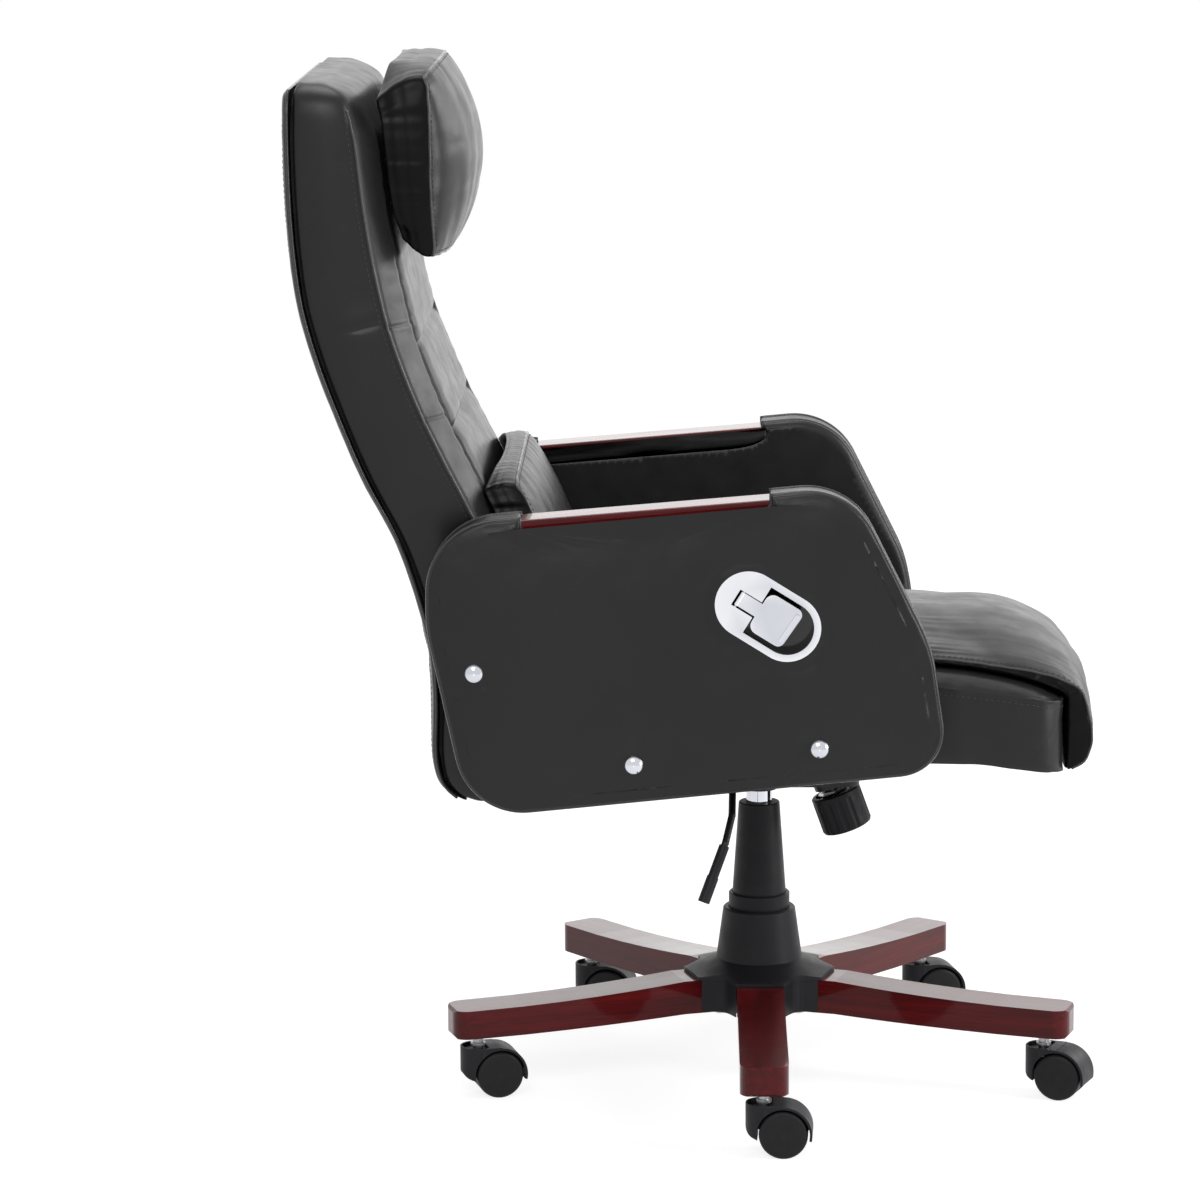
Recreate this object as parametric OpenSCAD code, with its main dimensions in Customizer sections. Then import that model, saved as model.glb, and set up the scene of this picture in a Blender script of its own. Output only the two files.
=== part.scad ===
// Reclining office chair. Five wooden legs on twin-wheel casters carry a gas lift under a telescopic
// cover. Above it are the tilt mechanism, a padded seat between two padded arm panels, and a backrest
// that reclines about the rear arm bolts.
// Millimetres. Origin on the floor on the lift axis, +Z up, the chair faces -Y, the sitter's right is -X.

/* [Base] */
// Radius of the circle through the caster stems
stem_circle = 315; // [290:5:350]
// Length of a leg beyond its caster stem
leg_overhang = 30; // [26:1:40]
// Width of a leg
leg_w = 50; // [44:1:56]
// Thickness of a leg at its tip
leg_tip_t = 30.5; // [26:0.5:36]
// Thickness of a leg at the hub
leg_root_t = 36; // [32:0.5:42]
// Height gained by a leg's underside towards the hub
leg_rise = 8; // [4:0.5:14]
// Reach of the hub's skirt over each leg
hub_skirt_r = 77; // [75:0.5:84]
// Radius of the hub's skirt at the dips between the legs
hub_dip_r = 67; // [66:0.5:72]
// Height of the hub cone's top above the floor
hub_top_z = 183; // [176:1:195]

/* [Casters] */
// Diameter of a caster wheel
wheel_d = 50; // [46:1:60]
// Width of one wheel of a twin
wheel_w = 18; // [15:0.5:20]
// Horizontal distance from a caster's stem to its wheel axle
caster_trail = 20; // [18:1:24]
// Height of the top of a caster's hood
caster_h = 55; // [54:0.5:60]
// Thickness of the web between two wheels
web_t = 5; // [4:0.5:7]
// Visible length of a caster stem between hood and leg
stem_show = 13; // [8:1:16]
// Diameter of a caster stem
stem_d = 11; // [10:0.5:12]

/* [Column] */
// Diameter of the gas lift's outer tube
cylinder_d = 45; // [42:1:46]
// Diameter of the gas lift's chrome tube
tube_d = 28; // [26:0.5:29]
// Travel of the gas lift
lift_travel = 100; // [70:5:105]
// Height of the top of the telescopic cover
cover_top_z = 298; // [290:1:310]
// Radius of the middle cover
cover_mid_r = 32.6; // [31.5:0.1:33.5]
// Radius of the top cover where it enters the middle cover
cover_low_r = 28.7; // [28:0.1:29.2]
// Radius of the top cover at its top
cover_high_r = 21.9; // [20:0.1:24]
// Wall of each cover
cover_wall = 2; // [1.5:0.1:2.2]

/* [Mechanism] */
// Height of the mechanism housing's floor
housing_z = 322; // [318:1:326]
// Height of the housing's walls
housing_h = 40; // [38:1:42]
// Width of the housing
housing_w = 88; // [84:1:100]
// Distance of the tilt axle in front of the lift axis
tilt_y = 36; // [34:1:40]
// Height of the tilt axle
tilt_z = 352; // [350:0.5:354]
// Lean of the tension bolt, its lower end forward
knob_lean = 19.7; // [14:0.1:24]
// Diameter of the tension knob
knob_d = 54; // [50:1:60]
// Height of the tension knob
knob_h = 42; // [36:1:48]
// Length of the lever's grip
grip_len = 62; // [50:1:80]

/* [Seat] */
// Height of the seat frame's underside
seat_z = 388; // [386:1:400]
// Width of the space between the arm panels
seat_gap = 472; // [440:2:520]
// Depth of the seat cushion from its front to its rear face
seat_depth = 510; // [480:5:540]
// Distance of the seat cushion's front face in front of the lift axis
seat_front = 309; // [290:1:330]
// Height of the seat cushion's side up to its seam
seat_side_h = 76; // [60:1:90]
// Height of the crown above the seam
seat_crown = 28; // [20:1:36]
// Thickness of the seat pad at its middle
pad_t = 19; // [12:1:26]
// Width of the seat pad
pad_w = 404; // [360:2:430]

/* [Arms] */
// Thickness of an arm panel at its edge
arm_t = 54; // [46:1:62]
// Swell of an arm panel's outer face
arm_swell = 5; // [2:0.5:8]
// Length of a wooden arm rail
rail_len = 250; // [200:5:280]
// Width of a wooden arm rail
rail_w = 44; // [38:1:48]
// Thickness of a wooden arm rail
rail_t = 13; // [10:0.5:16]
// Diameter of a chrome bolt cap
cap_d = 19.6; // [16:0.2:24]

/* [Recline pull] */
// Distance between the end centres of the escutcheon
pull_span = 45.3; // [38:0.1:54]
// End radius of the escutcheon
pull_r = 34; // [30:0.5:38]
// Width of the escutcheon's rim
pull_rim = 7; // [5:0.5:9]
// Depth of the finger cup
cup_depth = 24; // [18:1:28]
// Slope of the escutcheon, its paddle end down and forward
pull_slope = 32; // [20:1:45]

/* [Backrest] */
// Width of the backrest
back_w = 460; // [430:2:470]
// Distance of the recline axis behind the lift axis
pivot_y = 291; // [280:1:300]
// Height of the recline axis
pivot_z = 494; // [480:1:505]
// Swell of the backrest's front over its side seams
back_crown = 42; // [30:1:50]
// Thickness of the rear cover
rear_t = 9; // [7:0.5:12]
// Thickness of the moulded back shell
shell_t = 5; // [4:0.5:6]
// Corner radius at the top of the backrest
back_corner = 54; // [40:5:90]
// Width of the head pillow
pillow_w = 370; // [330:5:400]
// Width of the lumbar pillow
lumbar_w = 400; // [360:5:420]

/* [Hidden] */
LEGS = 5;

run_gap = 0.05;
soft_gap = 0.4;
$fn = 48;

black_plastic = [0.1, 0.1, 0.12];
wood_red = [0.38, 0.07, 0.1];
chrome_grey = [0.78, 0.79, 0.82];
steel_grey = [0.45, 0.46, 0.48];
leather_grey = [0.18, 0.18, 0.18];
strip_black = [0.08, 0.08, 0.08];

// Points of a polygon whose corners [x, y, radius] are rounded by arcs
function unit(v) = v / norm(v);
function corner(p, before, after, r, n) =
    let (u = unit(before - p),
         v = unit(after - p),
         half = acos(u * v) / 2,
         centre = p + unit(u + v) * r / sin(half),
         from = p + u * r / tan(half) - centre,
         to = p + v * r / tan(half) - centre,
         a0 = atan2(from[1], from[0]),
         turn = ((atan2(to[1], to[0]) - a0 + 540) % 360) - 180)
    [for (i = [0:n]) centre + r * [cos(a0 + turn * i / n), sin(a0 + turn * i / n)]];
function rounded(pts, n = 6) =
    [for (i = [0:len(pts) - 1])
        let (p = pts[i],
             a = pts[(i + len(pts) - 1) % len(pts)],
             b = pts[(i + 1) % len(pts)])
        each (p[2] == 0 ? [[p[0], p[1]]] : corner([p[0], p[1]], [a[0], a[1]], [b[0], b[1]], p[2], n))];

// Value at x on the smooth curve through pairs [x, y] in rising order of x
function slope_at(t, i) =
    let (a = max(0, i - 1), b = min(len(t) - 1, i + 1))
    (t[b][1] - t[a][1]) / (t[b][0] - t[a][0]);
function curve(t, x, i = 0) =
    (i < len(t) - 2 && x > t[i + 1][0]) ? curve(t, x, i + 1) :
    let (h = t[i + 1][0] - t[i][0],
         s = min(1, max(0, (x - t[i][0]) / h)),
         m0 = slope_at(t, i) * h,
         m1 = slope_at(t, i + 1) * h)
    (2 * s * s * s - 3 * s * s + 1) * t[i][1] + (s * s * s - 2 * s * s + s) * m0
    + (3 * s * s - 2 * s * s * s) * t[i + 1][1] + (s * s * s - s * s) * m1;

// Closed solid through rings that all have the same number of points, seen counter-clockwise from the last ring
module loft(rings) {
    n = len(rings[0]);
    m = len(rings);
    sides = [for (j = [0:m - 2], i = [0:n - 1], k = [0, 1])
        let (a = j * n + i, b = j * n + (i + 1) % n)
        k == 0 ? [a, a + n, b + n] : [a, b + n, b]];
    polyhedron(
        points = [for (r = rings) each r],
        faces = concat([[for (i = [0:n - 1]) i]], sides, [[for (i = [n - 1:-1:0]) (m - 1) * n + i]]),
        convexity = 6);
}

// Rod along a row of points, with a ball at each bend
module rod(path, r) {
    for (i = [0:len(path) - 2])
        let (d = path[i + 1] - path[i])
        translate(path[i])
            rotate([0, acos(d[2] / norm(d)), atan2(d[1], d[0])])
                cylinder(r = r, h = norm(d), $fn = 24);
    for (i = [1:len(path) - 2])
        translate(path[i])
            sphere(r = r + 0.15, $fn = 24);
}

// Base

leg_reach = stem_circle + leg_overhang;
leg_low_z = caster_h + stem_show;
leg_flat_r = 92;
leg_root_r = leg_w / 2 / tan(180 / LEGS) + 1.6;
leg_root_z = leg_low_z + leg_rise;
leg_root_top = leg_root_z + leg_root_t;
leg_end_r = 17;
socket_r = 31;
socket_plate_r = 58;
socket_plate_t = 3;
socket_low_z = 68;
socket_high_z = 118;
leg_bolt_r = 47;
leg_bolt_side = 12;
skirt_t = 3;
ear_low_z = 78;

function leg_angle(i) = 180 + 72 * (i - 1);
// Share of the rise at radius r, 0 at the tip and 1 where the leg turns flat under the hub
function leg_share(r) = r < leg_flat_r ? 1 : pow((leg_reach - r) / (leg_reach - leg_flat_r), 2);
function leg_low(r) = leg_low_z + leg_rise * leg_share(r);
function leg_high(r) = leg_low(r) + leg_tip_t + (leg_root_t - leg_tip_t) * leg_share(r);
leg_steps = [leg_root_r, leg_flat_r, 120, 150, 185, 225, 270, leg_reach - 3, leg_reach];

module leg_plan(grow = 0) {
    polygon(rounded([
        [leg_root_r - grow, -leg_w / 2 - grow, 0],
        [leg_reach + grow, -leg_w / 2 - grow, leg_end_r],
        [leg_reach + grow, leg_w / 2 + grow, leg_end_r],
        [leg_root_r - grow, leg_w / 2 + grow, 0]], 8));
}

module leg(i) {
    edge = 3;
    side = concat(
        [for (r = leg_steps) [r, r == leg_reach ? leg_low(r) + edge : leg_low(r)]],
        [for (k = [len(leg_steps) - 1:-1:0])
            let (r = leg_steps[k]) [r, r == leg_reach ? leg_high(r) - edge : leg_high(r)]]);
    color(wood_red)
    rotate([0, 0, leg_angle(i)])
        difference() {
            intersection() {
                translate([0, 0, leg_low_z - 1])
                    linear_extrude(leg_root_top - leg_low_z + 2)
                        leg_plan();
                rotate([90, 0, 0])
                    translate([0, 0, -leg_w])
                        linear_extrude(leg_w * 2)
                            polygon(side);
            }
            translate([stem_circle, 0, leg_low_z - 1])
                cylinder(d = stem_d + 2 * run_gap, h = stem_in + 1.3);
            for (s = [-1, 1])
                translate([leg_bolt_r, s * leg_bolt_side, leg_low_z - 1])
                    cylinder(d = leg_bolt_d + 0.4, h = leg_root_t + leg_rise + 2);
        }
}

leg_bolt_d = 8;
leg_bolt_head = 4;
stem_in = 22;

module leg_bolts() {
    color(steel_grey)
    for (i = [1:LEGS], s = [-1, 1])
        rotate([0, 0, leg_angle(i)])
            translate([leg_bolt_r, s * leg_bolt_side, leg_root_z - leg_bolt_head]) {
                cylinder(d = leg_bolt_d * 1.9, h = leg_bolt_head, $fn = 6);
                cylinder(d = leg_bolt_d, h = leg_bolt_head + leg_root_t + socket_plate_t);
            }
}

module hub_socket() {
    color(steel_grey)
    difference() {
        union() {
            translate([0, 0, socket_low_z])
                cylinder(r = socket_r, h = socket_high_z - socket_low_z);
            translate([0, 0, leg_root_top])
                cylinder(r = socket_plate_r, h = socket_plate_t);
        }
        translate([0, 0, socket_low_z - 1])
            cylinder(d = cylinder_d + 2 * run_gap, h = socket_high_z - socket_low_z + 2);
        for (i = [1:LEGS], s = [-1, 1])
            rotate([0, 0, leg_angle(i)])
                translate([leg_bolt_r, s * leg_bolt_side, leg_root_top - 1])
                    cylinder(d = leg_bolt_d + 0.4, h = socket_plate_t + 2);
    }
}

hub_waist_r = 46;
hub_waist_z = hub_top_z - 55;
hub_mouth_r = 38.6;
skirt_z = leg_root_top + 0.3;

// Plan of the hub: straight over each leg, with a dip between two legs
module hub_plan(inset) {
    tab = 18;
    corner_r = hub_skirt_r / cos(tab);
    radius = function(a)
        abs(a) <= tab ? hub_skirt_r / cos(a)
            : corner_r - (corner_r - hub_dip_r) * sin(90 * (abs(a) - tab) / (180 / LEGS - tab));
    polygon([for (i = [1:LEGS], a = [-32, -28, -24, -21, -tab, tab, 21, 24, 28, 32, 36])
        let (r = radius(a) - inset, way = leg_angle(i) + a) [r * cos(way), r * sin(way)]]);
}

// The hub is one moulded shell: a cone that holds the covers, a skirt over the legs, and an ear down between each pair
module hub_shell() {
    wall = 2.6;
    rim_r = hub_skirt_r / cos(18) + 1;
    ear_in = socket_plate_r + 3;
    flare = [for (k = [0:7]) let (t = k / 7)
        [hub_waist_r + (rim_r - hub_waist_r) * t,
         skirt_z + skirt_t + (hub_waist_z - skirt_z - skirt_t) * pow(1 - t, 1.4)]];
    outer = concat(
        [[hub_mouth_r - 1.5, hub_top_z], [hub_mouth_r, hub_top_z - 1.5]], flare, [[rim_r, skirt_z]]);
    inner = [
        [socket_plate_r + 4, skirt_z], [socket_plate_r + 0.5, leg_root_top + socket_plate_t + 0.3],
        [hub_waist_r - wall, leg_root_top + socket_plate_t + 2], [hub_mouth_r - wall, hub_top_z - 5],
        [cover_mid_r + 0.4, hub_top_z - 2.5], [cover_mid_r + 0.4, hub_top_z]];
    color(black_plastic) {
        intersection() {
            rotate_extrude($fn = 96)
                polygon(concat(outer, inner));
            translate([0, 0, skirt_z - 1])
                linear_extrude(hub_top_z - skirt_z + 2)
                    hub_plan(0);
        }
        translate([0, 0, ear_low_z])
            linear_extrude(skirt_z - ear_low_z + 1)
                difference() {
                    hub_plan(2);
                    circle(r = ear_in, $fn = 96);
                    for (i = [1:LEGS])
                        rotate([0, 0, leg_angle(i)])
                            leg_plan(0.4);
                }
    }
}

module caster_stems() {
    color(steel_grey)
    for (i = [1:LEGS])
        rotate([0, 0, leg_angle(i)])
            translate([stem_circle, 0, caster_h - stem_seat]) {
                cylinder(d = stem_d, h = stem_seat + stem_show + stem_in);
                translate([0, 0, stem_seat + 0.3])
                    cylinder(d = stem_d + 5, h = 3);
            }
}

// Casters, built with the stem on the local Z axis and the wheels trailing along local +X

caster_turn = [3, 22, -12, 8, -16];
stem_seat = 12;
wheel_r = wheel_d / 2;
axle_r = 3;
wheel_in = web_t / 2 + 0.4;
hood_gap = 2;
hood_wall = 2.6;
hood_w = 2 * (wheel_in + wheel_w) - 3;

module at_caster(i) {
    rotate([0, 0, leg_angle(i)])
        translate([stem_circle, 0, 0])
            rotate([0, 0, 270 - caster_turn[i - 1] - leg_angle(i)])
                children();
}

module hood_side() {
    inner = wheel_r + hood_gap;
    outer = inner + hood_wall;
    nose = caster_nose;
    difference() {
        union() {
            translate([caster_trail, wheel_r])
                polygon(concat([[0, 0]], [for (a = [-12:6:96]) outer * [cos(a), sin(a)]]));
            polygon(rounded([
                [caster_trail, wheel_r, 0],
                [caster_trail, caster_h, 0],
                [-nose, caster_h, 1],
                [-nose, wheel_r - 1, 11],
                [-3, wheel_r - 7, 5],
                [6, wheel_r + 4, 0]], 6));
        }
        translate([caster_trail, wheel_r])
            circle(r = inner, $fn = 72);
    }
}

caster_nose = 19;

module hood_plan() {
    union() {
        translate([0, 0])
            circle(r = caster_nose, $fn = 64);
        translate([0, -hood_w / 2])
            square([caster_trail + wheel_r + hood_gap + hood_wall, hood_w]);
        translate([-caster_nose + 8, -hood_w / 2 + 6])
            square([caster_nose, hood_w - 12]);
    }
}

module caster_hood(i) {
    color(black_plastic)
    at_caster(i)
        difference() {
            union() {
                intersection() {
                    rotate([90, 0, 0])
                        translate([0, 0, -hood_w / 2])
                            linear_extrude(hood_w)
                                hood_side();
                    linear_extrude(caster_h + 1)
                        hood_plan();
                }
                rotate([90, 0, 0])
                    translate([0, 0, -web_t / 2])
                        linear_extrude(web_t)
                            difference() {
                                translate([caster_trail, wheel_r])
                                    circle(r = wheel_r + hood_gap + 0.5, $fn = 72);
                                translate([caster_trail, 0])
                                    square([wheel_d * 2, wheel_d + 3], center = true);
                            }
                translate([caster_trail, 0, wheel_r])
                    rotate([90, 0, 0])
                        cylinder(r = axle_r + 3.5, h = web_t, center = true);
                translate([caster_trail, 0, wheel_r])
                    rotate([90, 0, 0])
                        cylinder(r = axle_r, h = 2 * (wheel_in + wheel_w) - 10, center = true);
            }
            translate([0, 0, caster_h - stem_seat])
                cylinder(d = stem_d + 2 * run_gap, h = stem_seat + 1);
            translate([0, 0, caster_h - 3.5])
                linear_extrude(5)
                    intersection() {
                        circle(r = caster_nose - 2, $fn = 64);
                        translate([-caster_nose, -caster_nose])
                            square([caster_nose + 9, 2 * caster_nose]);
                    }
        }
}

// One wheel of a twin: side 1 or -1 of the web, with a domed outer face and a blind axle bore
module caster_wheel(i, side) {
    color(black_plastic)
    at_caster(i)
        translate([caster_trail, side * wheel_in, wheel_r])
            rotate([-side * 90, 0, 0])
                difference() {
                    rotate_extrude($fn = 72)
                        polygon(concat(
                            [[0, 0], [wheel_r - 2, 0], [wheel_r, 2], [wheel_r, wheel_w - 5]],
                            [for (a = [15:15:75]) [wheel_r - 4 + 4 * cos(a), wheel_w - 5 + 4 * sin(a)]],
                            [[wheel_r * 0.6, wheel_w - 0.4], [0, wheel_w]]));
                    translate([0, 0, -1])
                        cylinder(r = axle_r + run_gap, h = wheel_w - 3);
                }
}

// Gas lift and telescopic cover

cylinder_low_z = 62;
cylinder_high_z = 240;
mid_low_z = hub_top_z - 61;
mid_high_z = hub_top_z + 16;
cover_low_z = mid_high_z - 67;
tube_low_z = 78;
taper_z = 312;
taper_top_z = 343;
taper_top_r = tube_d / 2 - 0.7;
button_r = 3.5;
button_top_z = 349.2;
button_in = 13;

module gas_cylinder() {
    color(black_plastic)
    difference() {
        translate([0, 0, cylinder_low_z])
            cylinder(d = cylinder_d, h = cylinder_high_z - cylinder_low_z);
        translate([0, 0, cylinder_low_z + 8])
            cylinder(d = tube_d + 2 * run_gap, h = cylinder_high_z);
    }
}

// Each cover has a rim out at its foot and a rim in at its head, so that the next one out can't leave it
module cover_middle() {
    color(black_plastic)
    rotate_extrude($fn = 96)
        polygon([
            [cover_mid_r - cover_wall, mid_low_z], [cover_mid_r + 2.4, mid_low_z],
            [cover_mid_r + 2.4, mid_low_z + 2], [cover_mid_r, mid_low_z + 3],
            [cover_mid_r, mid_high_z - 1], [cover_mid_r - 1, mid_high_z],
            [cover_low_r + 0.4, mid_high_z], [cover_low_r + 0.4, mid_high_z - 2],
            [cover_mid_r - cover_wall, mid_high_z - 3.5]]);
}

module cover_top() {
    lip = 2.5;
    bore = tube_d / 2 + run_gap;
    color(black_plastic)
    rotate_extrude($fn = 96)
        polygon([
            [cover_low_r - cover_wall, cover_low_z], [cover_low_r + 1.4, cover_low_z],
            [cover_low_r + 1.4, cover_low_z + 2], [cover_low_r, cover_low_z + 3], [cover_low_r, mid_high_z],
            [cover_high_r, cover_top_z - 1], [cover_high_r - 1, cover_top_z],
            [bore, cover_top_z], [bore, cover_top_z - lip],
            [cover_high_r - cover_wall, cover_top_z - lip], [cover_low_r - cover_wall, mid_high_z - 2]]);
}

module gas_tube() {
    color(chrome_grey)
    difference() {
        union() {
            translate([0, 0, tube_low_z])
                cylinder(d = tube_d, h = taper_z - tube_low_z);
            translate([0, 0, taper_z])
                cylinder(r1 = tube_d / 2, r2 = taper_top_r, h = taper_top_z - taper_z);
        }
        translate([0, 0, button_top_z - button_in - 5])
            cylinder(r = button_r + run_gap, h = button_in + 5);
    }
}

module valve_button() {
    color(steel_grey)
    translate([0, 0, button_top_z - button_in])
        cylinder(r = button_r, h = button_in);
}

// Tilt mechanism

housing_front = 106;
housing_rear = 54;
housing_wall = 2.5;
housing_floor = 3;
tilt_axle_r = 6;
flange_t = 3;
flange_in = housing_w / 2 + 1;
bracket_t = 3;
lever_y = 30;
lever_z = 340;
lever_r = 4;
sleeve_r = 7;
rocker_x = -36;
rocker_z = 331;
rocker_pin_r = 2.5;
knob_top = [0, -81.2, 308.5];
bolt_r = 5;
spring_r = 16.5;
spring_wire = 2.1;
spring_turns = 6;
knob_cup_r = 22;
knob_cup_depth = 30;
spring_top = 6.9;
spring_low = 0.3 - knob_cup_depth;

// Places children with local +Z up the tension bolt, zero at the knob's top face
module on_bolt() {
    translate(knob_top)
        rotate([-knob_lean, 0, 0])
            children();
}

module housing_plan(inset = 0) {
    polygon(rounded([
        [-housing_w / 2 + inset, -housing_front + inset, 14 - inset],
        [housing_w / 2 - inset, -housing_front + inset, 14 - inset],
        [housing_w / 2 - inset, housing_rear - inset, 20 - inset],
        [-housing_w / 2 + inset, housing_rear - inset, 20 - inset]], 5));
}

module mech_housing() {
    color(black_plastic)
    difference() {
        union() {
            difference() {
                translate([0, 0, housing_z])
                    linear_extrude(housing_h)
                        housing_plan();
                translate([0, 0, housing_z + housing_floor])
                    linear_extrude(housing_h)
                        housing_plan(housing_wall);
            }
            translate([0, 0, taper_z])
                cylinder(r = 19, h = taper_top_z - taper_z);
            on_bolt()
                translate([0, 0, spring_top + 0.1])
                    cylinder(r = 20, h = 15);
            for (s = [-1, 1])
                translate([s * (housing_w / 2 - 4), -tilt_y, tilt_z])
                    rotate([0, 90, 0])
                        cylinder(r = 9, h = 7.6, center = true);
            for (y = [20, 38])
                translate([rocker_x - 5, y - 1.5, housing_z])
                    cube([10, 3, rocker_z - housing_z + 5]);
        }
        translate([0, 0, taper_z])
            cylinder(r1 = tube_d / 2 + run_gap, r2 = taper_top_r + run_gap, h = taper_top_z - taper_z);
        on_bolt()
            translate([0, 0, -2])
                cylinder(r = bolt_r + 0.3, h = 60);
        translate([0, -tilt_y, tilt_z])
            rotate([0, 90, 0])
                cylinder(r = tilt_axle_r + run_gap, h = housing_w + 2, center = true);
        translate([rocker_x, 29, rocker_z])
            rotate([90, 0, 0])
                cylinder(r = rocker_pin_r + run_gap, h = 40, center = true);
        translate([-housing_w / 2, lever_y, lever_z])
            rotate([0, 90, 0])
                cylinder(r = sleeve_r + 4, h = 12, center = true);
    }
}

module tilt_axle() {
    color(steel_grey)
    translate([0, -tilt_y, tilt_z])
        rotate([0, 90, 0]) {
            cylinder(r = tilt_axle_r, h = 2 * (flange_in + flange_t), center = true);
            for (s = [-1, 1])
                translate([0, 0, s * (flange_in + flange_t + 1.8)])
                    cylinder(r = tilt_axle_r + 3, h = 3, center = true);
        }
}

module tension_bolt() {
    color(steel_grey)
    on_bolt() {
        translate([0, 0, 1 - knob_cup_depth - 9])
            cylinder(r = bolt_r, h = knob_cup_depth + spring_top + 24);
        translate([0, 0, spring_top + 15.2])
            cylinder(r = bolt_r + 4, h = 6, $fn = 6);
    }
}

// Round wire wound about the tension bolt, each ring square to the wire's run
module tilt_spring() {
    run = [for (j = [0:16 * spring_turns])
        let (a = 360 * j / 16)
        [spring_r * cos(a), spring_r * sin(a), (spring_top - spring_low - 2 * spring_wire) * j / 16 / spring_turns]];
    least = min([for (j = [0:len(run) - 9], k = [j + 8:len(run) - 1]) norm(run[k] - run[j])]) - 2 * spring_wire;
    echo(str("tilt_spring: least gap to itself in mm: ", round(least * 100) / 100));
    steps = 8 * spring_turns;
    rise = spring_top - spring_low - 2 * spring_wire;
    lead = atan2(rise / spring_turns, 2 * PI * spring_r);
    rings = [for (j = [0:steps])
        let (a = 360 * spring_turns * j / steps,
             z = spring_low + spring_wire + rise * j / steps,
             out = [cos(a), sin(a), 0],
             up = [sin(a) * sin(lead), -cos(a) * sin(lead), cos(lead)])
        [for (k = [0:5])
            [0, 0, z] + out * spring_r + spring_wire * (out * cos(60 * k) + up * sin(60 * k))]];
    color(steel_grey)
    on_bolt()
        loft([for (r = rings) [for (k = [5:-1:0]) r[k]]]);
}

// Knob with a deep cup for the spring and a ring of finger flutes
module tension_knob() {
    flutes = 14;
    color(black_plastic)
    on_bolt()
        difference() {
            rotate_extrude($fn = 72)
                polygon([
                    [knob_cup_r, 0], [knob_d / 2 - 1.5, 0], [knob_d / 2, -1.5],
                    [knob_d / 2, -knob_h + 4], [knob_d / 2 - 1.2, -knob_h + 1.2], [knob_d / 2 - 4, -knob_h],
                    [0, -knob_h], [0, -knob_cup_depth], [knob_cup_r, -knob_cup_depth]]);
            translate([0, 0, -knob_cup_depth - 9])
                cylinder(r = bolt_r + run_gap, h = 10);
            for (k = [0:flutes - 1])
                rotate([0, 0, 360 * k / flutes])
                    translate([knob_d / 2 + 6, 0, -knob_h - 1])
                        cylinder(r = 7, h = knob_h - 5, $fn = 24);
        }
}

module rocker_pin() {
    color(steel_grey)
    translate([rocker_x, 29, rocker_z])
        rotate([90, 0, 0])
            cylinder(r = rocker_pin_r, h = 24, center = true);
}

// Sleeve that holds the lever, a barrel on its pin, and a tab that reaches over the valve button
module valve_rocker() {
    tab_z = button_top_z + 0.3;
    color(steel_grey)
    difference() {
        union() {
            translate([-60, lever_y, lever_z])
                rotate([0, 90, 0])
                    cylinder(r = sleeve_r, h = 38);
            translate([rocker_x - 5, 23, rocker_z])
                cube([10, 12, lever_z - rocker_z]);
            translate([rocker_x, 29, rocker_z])
                rotate([90, 0, 0])
                    cylinder(r = 5, h = 12, center = true);
            translate([-30, 23, lever_z])
                cube([8, 12, tab_z - lever_z + 2.5]);
            translate([-30, -6, tab_z])
                cube([36, 41, 2.5]);
        }
        translate([-61, lever_y, lever_z])
            rotate([0, 90, 0])
                cylinder(r = lever_r + run_gap, h = 40);
        translate([rocker_x, 29, rocker_z])
            rotate([90, 0, 0])
                cylinder(r = rocker_pin_r + run_gap, h = 14, center = true);
    }
}

grip_top = [-206, 38, 299];
grip_dir = unit([-16, 21, -54]);
lever_path = [
    [-24, lever_y, lever_z], [-140, lever_y, lever_z], [-188, lever_y + 1, lever_z - 16],
    grip_top, grip_top + grip_dir * (grip_len - 8)];

module height_lever() {
    color(steel_grey)
    rod(lever_path, lever_r - 0.2);
    color(steel_grey)
    translate([-100, lever_y, lever_z])
        rotate([0, 90, 0])
            cylinder(r = lever_r, h = 76);
}

module lever_grip() {
    color(black_plastic)
    translate(grip_top + 3 * grip_dir)
        rotate([0, acos(grip_dir[2]), atan2(grip_dir[1], grip_dir[0])])
            difference() {
                union() {
                    cylinder(r = 5.4, h = grip_len, $fn = 32);
                    translate([0, 0, grip_len * 0.55])
                        cylinder(r = 6.2, h = grip_len * 0.45, $fn = 32);
                }
                translate([0, 0, -1])
                    cylinder(r = lever_r - 0.1, h = grip_len - 6, $fn = 32);
            }
}

bracket_x = 92;
bracket_front = 122;
bracket_rear = 92;
bracket_bolt = [74, 100, 72];

module seat_bracket() {
    color(black_plastic)
    difference() {
        union() {
            translate([0, 0, seat_z - bracket_t])
                linear_extrude(bracket_t)
                    polygon(rounded([
                        [-bracket_x, -bracket_front, 12], [bracket_x, -bracket_front, 12],
                        [bracket_x, bracket_rear, 12], [-bracket_x, bracket_rear, 12]], 5));
            for (s = [0, 1])
                mirror([s, 0, 0])
                    translate([flange_in, 0, 0])
                        rotate([90, 0, 90])
                            linear_extrude(flange_t)
                                polygon(rounded([
                                    [-tilt_y - 38, seat_z - bracket_t, 0], [-tilt_y - 12, tilt_z - 12, 11],
                                    [-tilt_y + 12, tilt_z - 12, 11], [-tilt_y + 60, seat_z - bracket_t, 0]], 6));
        }
        translate([0, -tilt_y, tilt_z])
            rotate([0, 90, 0])
                cylinder(r = tilt_axle_r + run_gap, h = housing_w + 20, center = true);
        for (x = [-1, 1], y = [-bracket_bolt[1], bracket_bolt[2]])
            translate([x * bracket_bolt[0], y, seat_z - 5])
                cylinder(r = 3.2, h = 10);
    }
}

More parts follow.
